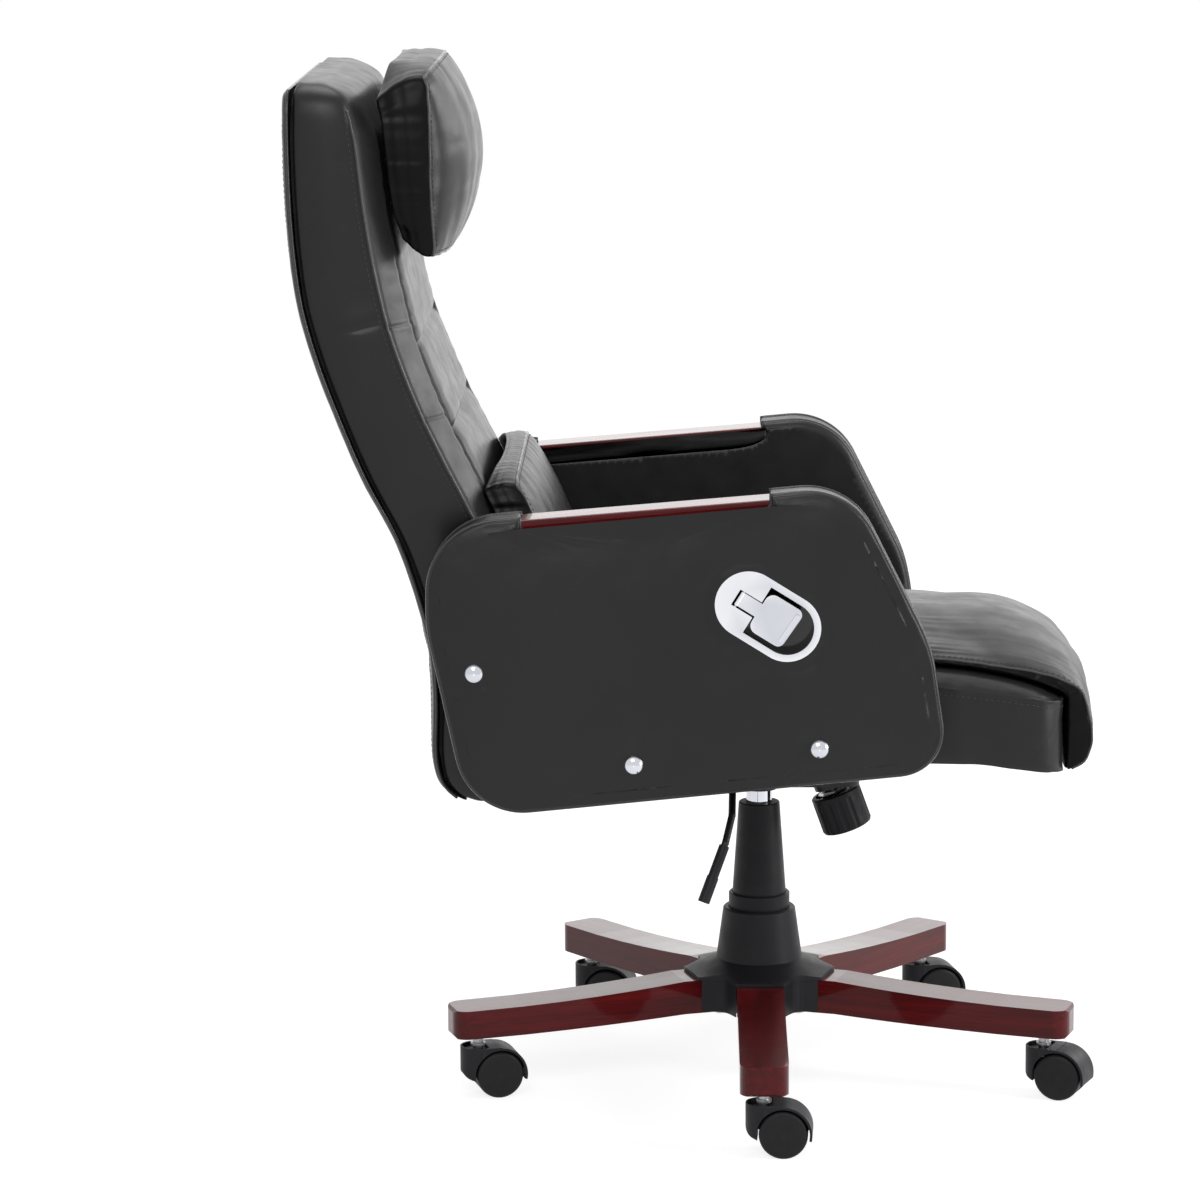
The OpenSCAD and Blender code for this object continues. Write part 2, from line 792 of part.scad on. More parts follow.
module bracket_bolts() {
    color(steel_grey)
    for (x = [-1, 1], y = [-bracket_bolt[1], bracket_bolt[2]])
        translate([x * bracket_bolt[0], y, seat_z - bracket_t]) {
            translate([0, 0, -4])
                cylinder(r = 5.5, h = 4, $fn = 6);
            cylinder(r = 3, h = bracket_t + frame_board_t);
        }
}

// Seat

frame_board_t = 12;
frame_rail_w = 26;
frame_rail_h = 44;
frame_x = seat_gap / 2 - 12;
frame_front = seat_front - 22;
seat_rear = seat_depth - seat_front;
front_y = seat_front + 2;
arm_bolt_r = 4;
arm_bolts_at = [[-56, 416], [131, 400]];

module seat_frame() {
    color("burlywood")
    difference() {
        union() {
            translate([-frame_x, -frame_front, seat_z])
                cube([2 * frame_x, frame_front + seat_rear - 12, frame_board_t]);
            for (s = [0, 1])
                mirror([s, 0, 0])
                    translate([frame_x - frame_rail_w, -frame_front + 60, seat_z])
                        cube([frame_rail_w, frame_front + seat_rear - 90, frame_rail_h]);
        }
        for (x = [-1, 1], y = [-bracket_bolt[1], bracket_bolt[2]])
            translate([x * bracket_bolt[0], y, seat_z - 1])
                cylinder(r = 3.2, h = frame_board_t + 2);
        for (s = [0, 1], p = arm_bolts_at)
            mirror([s, 0, 0])
                translate([frame_x - frame_rail_w - 1, p[0], p[1]])
                    rotate([0, 90, 0])
                        cylinder(r = arm_bolt_r + 0.2, h = frame_rail_w + 2);
    }
}

// Half width of the seat cushion at depth y, drawn in at its corners
function seat_half(y) =
    let (r = 34, front = max(0, r - (y + seat_front)), rear = max(0, r - (seat_rear - y)))
    seat_gap / 2 - soft_gap - r + sqrt(max(0, r * r - pow(max(front, rear), 2) * 0.96));
function seat_seam(y) = curve([[-seat_front, 447], [-250, 456], [-150, 466], [seat_rear, 466]], y);
function seat_low(y) = curve([[-seat_front, 374], [-260, 381], [-190, seat_z - 1], [seat_rear, seat_z - 1]], y);
function seat_high(y) = seat_seam(y) + seat_crown * curve([[-seat_front, 0.15], [-270, 0.72], [-200, 1], [seat_rear, 1]], y);

function seat_ring(y) =
    let (w = seat_half(y), low = seat_low(y), seam = seat_seam(y), high = seat_high(y), crown = high - seam,
         side = [for (k = [0:3]) [w - (k == 0 || k == 3 ? 2.5 : 0), low + 3 + (seam - low - 6) * k / 3]],
         shoulder = [for (a = [0:22.5:67.5]) [w - 34 * (1 - cos(a)), seam + crown * 0.62 * sin(a)]],
         top = [for (x = [0.78, 0.55, 0.28]) [w * x, high - crown * 0.5 * x * x]],
         half = concat([[w - 5, low]], side, shoulder, top))
    concat([for (p = half) [p[0], y, p[1]]], [[0, y, high]],
           [for (k = [len(half) - 1:-1:0]) [-half[k][0], y, half[k][1]]]);

seat_stations = [-seat_front, -seat_front + 2.5, -seat_front + 8, -seat_front + 18, -270, -240, -200, -120,
                 0, 100, seat_rear - 20, seat_rear - 6, seat_rear];

module seat_cushion() {
    color(leather_grey)
    difference() {
        loft([for (k = [len(seat_stations) - 1:-1:0]) seat_ring(seat_stations[k])]);
        translate([-frame_x - 0.2, -frame_front - 0.2, seat_z - 20])
            cube([2 * frame_x + 0.4, frame_front + seat_rear - 11.6, frame_board_t + 20.2]);
        for (s = [0, 1])
            mirror([s, 0, 0])
                translate([frame_x - frame_rail_w - 0.2, -frame_front + 59.8, seat_z])
                    cube([frame_rail_w + 0.4, frame_front + seat_rear - 89.6, frame_rail_h + 0.2]);
        for (s = [0, 1], p = arm_bolts_at)
            mirror([s, 0, 0])
                translate([frame_x - 1, p[0], p[1]])
                    rotate([0, 90, 0])
                        cylinder(r = arm_bolt_r + 0.3, h = 20);
    }
}

// The pad lies on the cushion and hangs over its front edge. Its path gives [y, z] of its underside's middle,
// the way its upper face looks there, and its thickness at the middle and at the edge
pad_half = pad_w / 2 - 3;
function on_seat(y, way, thick, edge) = [y, seat_high(y) + 2 * soft_gap, way, thick, edge];
pad_path = [
    [205, seat_high(150) + 4, 90, 3, 2], on_seat(200, 90, pad_t * 0.8, 7), on_seat(180, 90, pad_t, 8),
    on_seat(90, 90, pad_t, 8), on_seat(-30, 90, pad_t, 8), on_seat(-130, 90, pad_t, 8), on_seat(-200, 92, pad_t + 2, 8),
    on_seat(-245, 104, pad_t + 12, 9), [-278, seat_high(-278) + 1.6, 122, pad_t + 11, 12], [-304, seat_high(-304) + 3, 145, pad_t + 6, 16],
    [-front_y, 450, 158, pad_t + 8, 19], [-front_y, 434, 168, pad_t + 13, 23], [-front_y, 418, 176, pad_t + 18, 27],
    [-front_y, 401, 188, pad_t + 16, 27], [-front_y, 386, 195, pad_t + 8, 20], [-front_y + 1, 375, 200, 10, 7]];

function pad_ring(p) =
    let (out = [0, cos(p[2]), sin(p[2])],
         base = [0, p[0], p[1]],
         sag = p[2] < 150 ? 0.5 * (seat_high(p[0]) - seat_seam(p[0])) : 0,
         drop = function(x) [0, 0, -sag * pow(x / seat_half(0), 2)])
    concat(
        [for (x = [-1:0.25:1]) base + [pad_half * x, 0, 0] + drop(pad_half * x)],
        [base + [pad_half + 3, 0, 0] + out * p[4] / 2 + drop(pad_half)],
        [for (x = [0.98, 0.85, 0.6, 0.3, 0, -0.3, -0.6, -0.85, -0.98])
            base + [pad_half * x, 0, 0] + out * (p[4] + (p[3] - p[4]) * pow(1 - x * x, 0.7)) + drop(pad_half * x)],
        [base + [-pad_half - 3, 0, 0] + out * p[4] / 2 + drop(pad_half)]);

module seat_pad() {
    color(leather_grey)
    loft([for (p = pad_path) pad_ring(p)]);
}

// Arm panels: sides 1 is the sitter's left, -1 the right

arm_in = seat_gap / 2;
arm_seam = arm_in + arm_t;
arm_out = arm_seam + arm_swell;
cap_x = arm_out - 2.5;
rail_rear = [243, 648];
rail_lean = 4.6;
arm_corners = [
    [-87, 681, 74], [-168, 519, 160], [-187, 391, 46], [297, 344, 68], [339, 540, 180], [337, 643, 74]];

function arm_ring(x, inset) =
    let (mid = [76, 514], half = [262, 169])
    [for (p = rounded(arm_corners, 7))
        let (d = [p[0], p[1]] - mid)
        [x, mid[0] + d[0] * (1 - inset / half[0]), mid[1] + d[1] * (1 - inset / half[1])]];

module on_side(side) {
    mirror([side < 0 ? 1 : 0, 0, 0])
        children();
}

module rail_block(grow = 0) {
    translate([0, rail_rear[0], rail_rear[1]])
        rotate([-rail_lean, 0, 0])
            rotate([90, 0, 90])
                linear_extrude(arm_t + 40)
                    polygon([
                        [-rail_len - grow, 60], [-rail_len - grow, -rail_t * 0.35 - grow],
                        [-rail_len + 5, -rail_t * 0.62 - grow], [-rail_len + 14, -rail_t * 0.84 - grow],
                        [-rail_len + 26, -rail_t * 0.97 - grow], [-rail_len + 36, -rail_t - grow],
                        [grow, -rail_t - grow], [grow, 60]]);
}

module arm_panel(side) {
    rings = concat(
        [for (k = [[0, 9], [2.2, 3.4], [8, 0]]) arm_ring(arm_in + k[0], k[1])],
        [for (k = [[6, 0.2], [0.8, 1.6], [-1.2, 6], [-3.6, 22], [-5, 46]]) arm_ring(arm_seam - k[0] * 1, k[1])]);
    color(leather_grey)
    difference() {
        on_side(side)
            loft(rings);
        on_side(side)
            translate([arm_in - 20, 0, 0])
                rail_block(0.3);
        on_side(side)
            for (p = concat(arm_bolts_at, [[pivot_y, pivot_z]]))
                translate([arm_in - 2, p[0], p[1]])
                    rotate([0, 90, 0]) {
                        cylinder(r = arm_bolt_r + 0.3, h = arm_t + 20);
                        translate([0, 0, cap_x - arm_in + 1.8])
                            cylinder(d = cap_d + 0.6, h = 20);
                    }
        if (side < 0)
            on_pull()
                translate([0, 0, -cup_depth - 0.2])
                    linear_extrude(cup_depth + 10)
                        pull_shape(-3.8);
    }
}

module arm_rail(side) {
    x = arm_in + (arm_t - rail_w) / 2;
    color(wood_red)
    on_side(side)
        intersection() {
            translate([x - 20, 0, 0])
                rail_block(0);
            translate([x, rail_rear[0], rail_rear[1]])
                rotate([-rail_lean, 0, 0])
                    rotate([90, 0, 0])
                        linear_extrude(rail_len)
                            polygon(rounded([
                                [0, -rail_t, 1], [rail_w, -rail_t, 1], [rail_w, 0, 2.5], [0, 0, 2.5]], 4));
        }
}

module arm_bolts() {
    color(steel_grey)
    for (side = [-1, 1])
        on_side(side) {
            for (p = arm_bolts_at)
                translate([frame_x - frame_rail_w, p[0], p[1]])
                    rotate([0, 90, 0])
                        cylinder(r = arm_bolt_r, h = cap_x - frame_x + frame_rail_w);
            translate([bracket_in - bracket_plate_t - 4.5, pivot_y, pivot_z])
                rotate([0, 90, 0]) {
                    cylinder(r = arm_bolt_r, h = cap_x - bracket_in + bracket_plate_t + 4.5);
                    cylinder(r = arm_bolt_r + 3, h = 4);
                }
        }
}

// Domed caps over the bolt ends, bored to take them
module arm_caps() {
    rim = cap_d / 2;
    color(chrome_grey)
    for (side = [-1, 1], p = concat(arm_bolts_at, [[pivot_y, pivot_z]]))
        on_side(side)
            translate([cap_x, p[0], p[1]])
                rotate([0, 90, 0])
                    rotate_extrude($fn = 48)
                        polygon(concat(
                            [[0, 0], [rim, 0], [rim, 2.5]],
                            [for (a = [15:15:75]) [rim * cos(a), 2.5 + 5.6 * sin(a)]],
                            [[0, 8.1]]));
}

// Recline pull, built with local x from the hinge end to the finger end and z out of the arm

pull_at = [-4, 552];
pull_plate_t = 3;
mouth_x = -13;
paddle_t = 3.6;
paddle_pin_x = -33;
paddle_pin_r = 1.5;
paddle_z = -4.5;

module on_pull() {
    translate([-arm_out, pull_at[0], pull_at[1]])
        rotate([90 + pull_slope, 0, 0])
            rotate([0, -90, 0])
                children();
}

module pull_shape(grow = 0) {
    for (s = [-1, 1])
        translate([s * pull_span / 2, 0])
            circle(r = pull_r + grow, $fn = 64);
    square([pull_span, 2 * (pull_r + grow)], center = true);
}

// Opening in the plate: a slot for the paddle's tab that widens to the finger mouth
module pull_mouth() {
    r = pull_r - pull_rim;
    translate([pull_span / 2, 0])
        circle(r = r, $fn = 64);
    translate([mouth_x, -r])
        square([pull_span / 2 - mouth_x, 2 * r]);
    translate([paddle_pin_x - 5, -9])
        square([mouth_x - paddle_pin_x + 6, 18]);
}

module pull_escutcheon() {
    color(chrome_grey)
    difference() {
        union() {
            linear_pull(0, pull_plate_t, 0);
            linear_pull(-cup_depth, 0.1, -4);
        }
        on_pull()
            translate([0, 0, -cup_depth + 1.6])
                linear_extrude(cup_depth + pull_plate_t)
                    pull_mouth();
        on_pull()
            translate([paddle_pin_x, 0, paddle_z + paddle_t / 2])
                rotate([90, 0, 0])
                    cylinder(r = paddle_pin_r, h = 24, center = true, $fn = 24);
    }
}

module linear_pull(from, to, grow) {
    on_pull()
        translate([0, 0, from])
            linear_extrude(to - from)
                pull_shape(grow);
}

module paddle_pin() {
    color(steel_grey)
    on_pull()
        translate([paddle_pin_x, 0, paddle_z + paddle_t / 2])
            rotate([90, 0, 0])
                cylinder(r = paddle_pin_r, h = 23.6, center = true, $fn = 24);
}

// Narrow tab on its pin, widening to a rounded finger plate with a turned-up end
module pull_paddle() {
    wide = 44;
    color(chrome_grey)
    on_pull()
        difference() {
            union() {
                translate([0, 0, paddle_z])
                    linear_extrude(paddle_t) {
                        translate([paddle_pin_x, -7.5])
                            square([mouth_x - paddle_pin_x + 8, 15]);
                        polygon(rounded([
                            [mouth_x + 2, -wide / 2, 9], [28, -wide / 2, 7],
                            [30, wide / 2, 7], [mouth_x + 2, wide / 2, 9]], 5));
                    }
                translate([paddle_pin_x, 0, paddle_z + paddle_t / 2])
                    rotate([90, 0, 0])
                        cylinder(r = paddle_t / 2 + 1, h = 15, center = true, $fn = 32);
                translate([0, 0, paddle_z + paddle_t])
                    linear_extrude(2.4)
                        polygon(rounded([
                            [22, -wide / 2 + 5, 2], [27, -wide / 2 + 5, 2],
                            [28.5, wide / 2 - 5, 2], [23, wide / 2 - 5, 2]], 3));
            }
            translate([paddle_pin_x, 0, paddle_z + paddle_t / 2])
                rotate([90, 0, 0])
                    cylinder(r = paddle_pin_r + run_gap, h = 20, center = true, $fn = 24);
        }
}

// Backrest

back_half = back_w / 2;
bracket_in = back_half - 14;
bracket_plate_t = 4;
back_low_z = 348;
back_high_z = 1081;

// Rear face of the backrest and its front side seam, as distance behind the lift axis at each height
back_rear_line = [
    [346, 302], [350, 316], [358, 327], [370, 335], [395, 340], [450, 339], [500, 342], [560, 356], [620, 377], [680, 408], [740, 433],
    [800, 455], [860, 471], [930, 479], [1000, 482], [1060, 482], [1092, 480]];
back_seam_line = [
    [345, 272], [380, 259], [450, 254], [520, 257], [580, 268], [640, 292], [700, 322], [760, 350],
    [820, 372], [880, 387], [950, 399], [1020, 407], [1060, 412], [1092, 418]];
channel_z = [812, 726];
channel_half = 9;

function back_rear(z) = curve(back_rear_line, z);
function back_seam(z) = curve(back_seam_line, z);
// Half width at height z, drawn in round the top corners
function back_width(z) =
    let (up = max(0, z - (back_high_z - back_corner)))
    back_half - (z > 640 ? 0 : 4) - back_corner + sqrt(max(0, back_corner * back_corner - up * up * 0.985));
// Swell of the front over the seam line: none at the sides, a valley at the bolster seams and at the channels
function back_swell(x, z) =
    let (u = abs(x) / back_width(z),
         fade = min(1, (back_high_z + 4 - z) / 70) * min(1, max(0.06, (z - 350) / 150)),
         channel = max([for (c = channel_z) max(0, 1 - abs(z - c) / channel_half)]),
         valley = max(0, 1 - abs(abs(x) - 178) / 16))
    back_crown * fade * pow(max(0, 1 - pow(u, 2.5)), 0.7)
    - 5 * fade * valley * (u < 0.97 ? 1 : 0) - (abs(x) < 178 ? 7 * channel : 2.5 * channel * (u < 0.97 ? 1 : 0));
function back_front(x, z) = back_seam(z) - back_swell(x, z);

back_u = [-1, -0.975, -0.92, -0.83, -0.775, -0.72, -0.55, -0.3, 0, 0.3, 0.55, 0.72, 0.775, 0.83, 0.92, 0.975, 1];

function back_ring(z) =
    let (w = back_width(z),
         rear = back_rear(z) - rear_t - shell_t,
         front = back_seam(z))
    concat(
        [for (u = back_u) [u * w, back_front(u * w, z), z]],
        [for (s = [1, -1]) each
            (s == 1 ? [[w, (rear + front) / 2, z], [w - 1.5, rear - 3, z], [w - 6, rear, z]]
                    : [[-w + 6, rear, z], [-w + 1.5, rear - 3, z], [-w, (rear + front) / 2, z]])]);

back_stations = [
    back_low_z, 351, 358, 370, 400, 450, 500, 550, 600, 650, 690, 717, 726, 735, 770, 803, 812, 821, 860, 920,
    980, 1022, 1040, 1057, 1069, 1077, back_high_z];

module back_cushion() {
    color(leather_grey)
    difference() {
        loft([for (z = back_stations) back_ring(z)]);
        for (s = [-1, 1])
            on_side(s) {
                translate([bracket_in - bracket_plate_t - 0.4, pivot_y - 16, 399])
                    cube([bracket_plate_t + 0.8, 200, pivot_z + 18 - 399]);
                translate([bracket_in, pivot_y, pivot_z])
                    rotate([0, 90, 0]) {
                        cylinder(r = arm_bolt_r + soft_gap, h = 40);
                        translate([0, 0, -bracket_plate_t - 5])
                            cylinder(r = arm_bolt_r + 3.5, h = 5.5);
                    }
            }
    }
}

// Moulded board behind the cushion, set in from its edges so that a dark joint shows
module back_shell() {
    inset = 9;
    steps = [for (z = back_stations) if (z > 365 && z < back_high_z - 9) z];
    color("dimgray")
    loft([for (z = steps)
        let (w = back_width(z + 10) - inset, rear = back_rear(z) - rear_t - 0.3)
        [[-w, rear - shell_t + 0.6, z], [w, rear - shell_t + 0.6, z], [w, rear, z], [-w, rear, z]]]);
}

module rear_cover() {
    color(leather_grey)
    loft([for (z = back_stations)
        let (w = back_width(z) + 0.5, rear = back_rear(z),
             end = (z < back_low_z + 3 || z > back_high_z - 2) ? 0.5 : 1)
        concat(
            [for (u = [-1, 1]) [u * (w - 1), rear - rear_t, z]],
            [for (u = [1, 0.97, 0.88, 0.6, 0, -0.6, -0.88, -0.97, -1])
                [u * w, rear - rear_t + end * (abs(u) == 1 ? 3 : rear_t * pow(1 - pow(abs(u), 8), 0.5)), z]])]);
}

// Steel straps let into the cushion's sides, bored for the recline bolts and fixed to the shell
module back_brackets() {
    color(steel_grey)
    for (s = [-1, 1])
        on_side(s)
            difference() {
                translate([bracket_in - bracket_plate_t, 0, 0])
                    rotate([90, 0, 90])
                        linear_extrude(bracket_plate_t)
                            polygon(rounded([
                                [pivot_y - 15, pivot_z - 15, 13], [pivot_y + 14, pivot_z - 20, 10],
                                [pivot_y + 26, 400, 0], [back_rear(400) - rear_t - shell_t - 0.4, 400, 0],
                                [back_rear(450) - rear_t - shell_t - 0.4, 450, 0],
                                [back_rear(500) - rear_t - shell_t - 0.4, 500, 0], [pivot_y + 20, pivot_z + 17, 8],
                                [pivot_y - 15, pivot_z + 17, 13]], 5));
                translate([bracket_in - 20, pivot_y, pivot_z])
                    rotate([0, 90, 0])
                        cylinder(r = arm_bolt_r + run_gap, h = 30);
            }
}

// Pillow between two heights, its rear on the backrest's front: edge and middle thickness, at share v of its height.
// Its front follows the backrest's crown less than its rear does, by the share flat.
module pillow(half, z0, z1, lean, edge_t, swell, flat) {
    us = [-1, -0.96, -0.85, -0.6, -0.3, 0, 0.3, 0.6, 0.85, 0.96, 1];
    vs = [0, 0.04, 0.14, 0.3, 0.46, 0.6, 0.73, 0.87, 0.96, 1];
    bulge = function(u, v) swell * pow(max(0, 1 - pow(abs(u), 2.4)), 0.6) * pow(sin(180 * (0.03 + 0.94 * v)), 0.9);
    droop = function(u) 8 * pow(abs(u), 6);
    height = function(u, v) z0 + (z1 - z0) * v - droop(u) * (v > 0.5 ? v : 0.2);
    edge = function(v) edge_t * (v == 0 || v == 1 ? 0.72 : 1);
    color(leather_grey)
    loft([for (u = us)
        let (pinch = abs(u) == 1 ? 0.86 : 1)
        concat(
            [for (v = vs)
                let (z = height(u, v), back = pillow_rear(u * half, z))
                [u * half, back - soft_gap - (v == 0 || v == 1 ? edge_t * 0.14 : 0), z]],
            [for (k = [len(vs) - 1:-1:0])
                let (v = vs[k], z = height(u, v),
                     back = (1 - flat) * pillow_rear(u * half, z) + flat * pillow_rear(0, z))
                [u * half, back - soft_gap - edge(v) * pinch - bulge(u, v) - lean * v, z]])]);
}

// Surface that the pillows lie on: the backrest's front without its channels, carried straight up past its round top
function pillow_rear(x, z) =
    let (u = min(0.999, abs(x) / back_width(min(z, back_high_z - 70))))
    back_seam(z) - 0.8 - back_crown * pow(1 - pow(u, 2.5), 0.7);

module head_pillow() {
    pillow(pillow_w / 2, 897, 1097, 18, 26, 39, 0.7);
}

module lumbar_pillow() {
    pillow(lumbar_w / 2, 540, 682, -2, 26, 8, 0.8);
}

hub_shell();
hub_socket();
leg_bolts();
caster_stems();
gas_cylinder();
for (i = [1:LEGS]) {
    leg(i);
    caster_hood(i);
    caster_wheel(i, 1);
    caster_wheel(i, -1);
}
cover_middle();
cover_top();
gas_tube();
valve_button();
mech_housing();
tilt_axle();
tension_bolt();
tilt_spring();
tension_knob();
rocker_pin();
valve_rocker();
height_lever();
lever_grip();
seat_bracket();
bracket_bolts();
seat_frame();
seat_cushion();
seat_pad();
arm_panel(-1);  // arm_panel_right
arm_panel(1);  // arm_panel_left
arm_rail(-1);  // arm_rail_right
arm_rail(1);  // arm_rail_left
arm_bolts();
arm_caps();
pull_escutcheon();
paddle_pin();
pull_paddle();
back_brackets();
back_shell();
back_cushion();
rear_cover();
head_pillow();
lumbar_pillow();
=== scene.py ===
import math
import bmesh
import bpy
import numpy as np
from mathutils import Matrix, Vector
from mathutils.bvhtree import BVHTree
from mathutils.geometry import delaunay_2d_cdt


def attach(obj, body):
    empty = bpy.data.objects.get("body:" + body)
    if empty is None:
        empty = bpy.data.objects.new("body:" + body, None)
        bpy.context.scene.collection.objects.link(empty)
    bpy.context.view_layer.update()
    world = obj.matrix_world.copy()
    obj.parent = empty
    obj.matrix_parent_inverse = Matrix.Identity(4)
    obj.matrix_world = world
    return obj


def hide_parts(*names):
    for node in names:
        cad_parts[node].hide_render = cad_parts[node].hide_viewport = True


# Looks of the office chair: upholstery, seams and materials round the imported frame.
# Shapes are worked out in millimetres and written to the meshes in metres: x goes to the far side, y to the
# rear and z up. The near arm is the one with the recline pull.

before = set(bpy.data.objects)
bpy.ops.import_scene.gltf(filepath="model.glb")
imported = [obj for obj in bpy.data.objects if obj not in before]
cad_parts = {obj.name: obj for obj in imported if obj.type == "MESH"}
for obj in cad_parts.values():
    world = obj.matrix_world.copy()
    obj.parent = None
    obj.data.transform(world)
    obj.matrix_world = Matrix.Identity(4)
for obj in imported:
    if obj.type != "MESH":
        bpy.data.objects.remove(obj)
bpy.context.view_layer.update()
scene = bpy.context.scene
MM = 0.001

# Numbers

PHASE = 6.28


def curve(table, x):
    """Value at x on the smooth curve through [x, y] pairs."""
    xs, ys = np.asarray(table, float).T
    n = len(xs)
    before, after = np.r_[0, 0:n - 1], np.r_[1:n, n - 1]
    m = (ys[after] - ys[before]) / (xs[after] - xs[before])
    i = np.clip(np.searchsorted(xs, x) - 1, 0, n - 2)
    h = xs[i + 1] - xs[i]
    s = np.clip((x - xs[i]) / h, 0, 1)
    return ((2 * s**3 - 3 * s**2 + 1) * ys[i] + (s**3 - 2 * s**2 + s) * m[i] * h
            + (3 * s**2 - 2 * s**3) * ys[i + 1] + (s**3 - s**2) * m[i + 1] * h)


def smooth(a, b, x):
    """0 at a and 1 at b, with a soft start and end."""
    t = np.clip((x - a) / (b - a), 0, 1)
    return t * t * (3 - 2 * t)


def bump(d, width):
    """1 at distance 0, fading out over about the width."""
    return np.exp(-(d / width) ** 2)


def ripple(s, seed, length):
    """Uneven waves along s, about one each length, between -1 and 1."""
    r = np.random.RandomState(seed)
    total = 0
    for _ in range(6):
        wave = length * (0.55 + 1.3 * r.rand())
        total = total + np.sin(2 * np.pi * s / wave + PHASE * r.rand())
    return np.tanh(total / 2.2)


def streaks(a, b, seed, wide, long):
    """Long soft folds: about wide apart across a, and long along b."""
    r = np.random.RandomState(seed)
    total = 0
    for _ in range(9):
        across = a / (wide * (0.6 + 1.2 * r.rand()))
        slant = (r.rand() - 0.5) * 2 * b / long
        total = total + np.sin(2 * np.pi * (across + slant) + PHASE * r.rand())
    return np.tanh(total / 2.6)


def crease(a, b, seed, wide, long):
    """Narrow valleys along the zero lines of the folds."""
    return -np.exp(-(streaks(a, b, seed, wide, long) * 4.5) ** 2)


def only(where, value):
    """The value where the mask holds, and 0 elsewhere."""
    return np.where(where, value, 0)


def lines(low, high, step, near=(), offsets=(0.0,)):
    """Grid lines from low to high, in millimetres, with closer ones round each seam."""
    base = np.linspace(low, high, int(round((high - low) / step)) + 1)
    extra = [c + s * o for c in near for o in offsets for s in (-1, 1)]
    extra = [e for e in extra if low < e < high]
    keep = [v for v in base if all(abs(v - e) > 1.1 for e in extra) or v in (low, high)]
    return np.array(sorted(set(np.round(keep + extra, 3))))


def closer(zs, top, depth, n):
    """The heights zs, with n closer ones in the last depth below the top."""
    return np.r_[zs[zs < top - depth - 1], top - depth * (1 - np.sin(np.linspace(0, 1, n) * np.pi / 2))]


def unit(v):
    return v / np.maximum(np.linalg.norm(v, axis=-1, keepdims=True), 1e-9)


def lengths(pts):
    """How far along a line of points each of them lies."""
    return np.r_[0, np.cumsum(np.linalg.norm(np.diff(pts, axis=0), axis=1))]


def evenly(pts, step, closed=False, count=None):
    """Points spread evenly along a line of points, about step apart, or count of them."""
    if closed:
        pts = np.vstack([pts, pts[:1]])
    d = lengths(pts)
    n = count or max(2, int(round(d[-1] / step)))
    s = np.linspace(0, d[-1], n + 1)
    if closed:
        s = s[:-1]
    return np.stack([np.interp(s, d, axis) for axis in pts.T], 1)


def outward(loop):
    """Unit directions square to a closed flat outline, outward where it runs anticlockwise."""
    t = np.roll(loop, -1, 0) - np.roll(loop, 1, 0)
    return unit(np.stack([t[:, 1], -t[:, 0]], 1))


# Meshes

def make(name, verts, faces):
    me = bpy.data.meshes.new(name)
    me.from_pydata((np.asarray(verts, float) * MM).tolist(), [], faces)
    bm = bmesh.new()
    bm.from_mesh(me)
    bmesh.ops.recalc_face_normals(bm, faces=bm.faces)
    bm.to_mesh(me)
    bm.free()
    me.shade_smooth()
    o = bpy.data.objects.new(name, me)
    scene.collection.objects.link(o)
    return o


def read(data, key, width=3, kind=float):
    values = np.empty(len(data) * width, kind)
    data.foreach_get(key, values)
    return values.reshape(-1, width)


def coords(o):
    return read(o.data.vertices, "co") / MM


def set_coords(o, co):
    o.data.vertices.foreach_set("co", (co * MM).ravel())
    o.data.update()


def press(o, depth):
    """Moves each point along its normal by depth millimetres."""
    set_coords(o, coords(o) + read(o.data.vertex_normals, "vector") * depth[:, None])


def tube_faces(rows, cols, start=0):
    f = []
    for i in range(rows - 1):
        for j in range(cols):
            a, b = start + i * cols + j, start + i * cols + (j + 1) % cols
            f.append((a, b, b + cols, a + cols))
    return f


def level(ring, z):
    """A flat outline laid at height z."""
    return np.column_stack([ring, np.full(len(ring), z)])


def tube(name, rings, shares=(0.96, 0.86, 0.66, 0.4, 0.15)):
    """Closed skin through rings of points, its ends drawn in, and how many points come before the first."""
    def cap(r):
        mid = r.mean(0)
        return [mid + (r - mid) * s for s in shares]
    rows = cap(rings[0])[::-1] + rings + cap(rings[-1])
    n, m = len(rings[0]), len(rows)
    faces = tube_faces(m, n) + [tuple(range(n)), tuple((m - 1) * n + k for k in range(n))]
    return make(name, np.concatenate(rows), faces), len(shares) * n


ROW_SHARE = 0.866


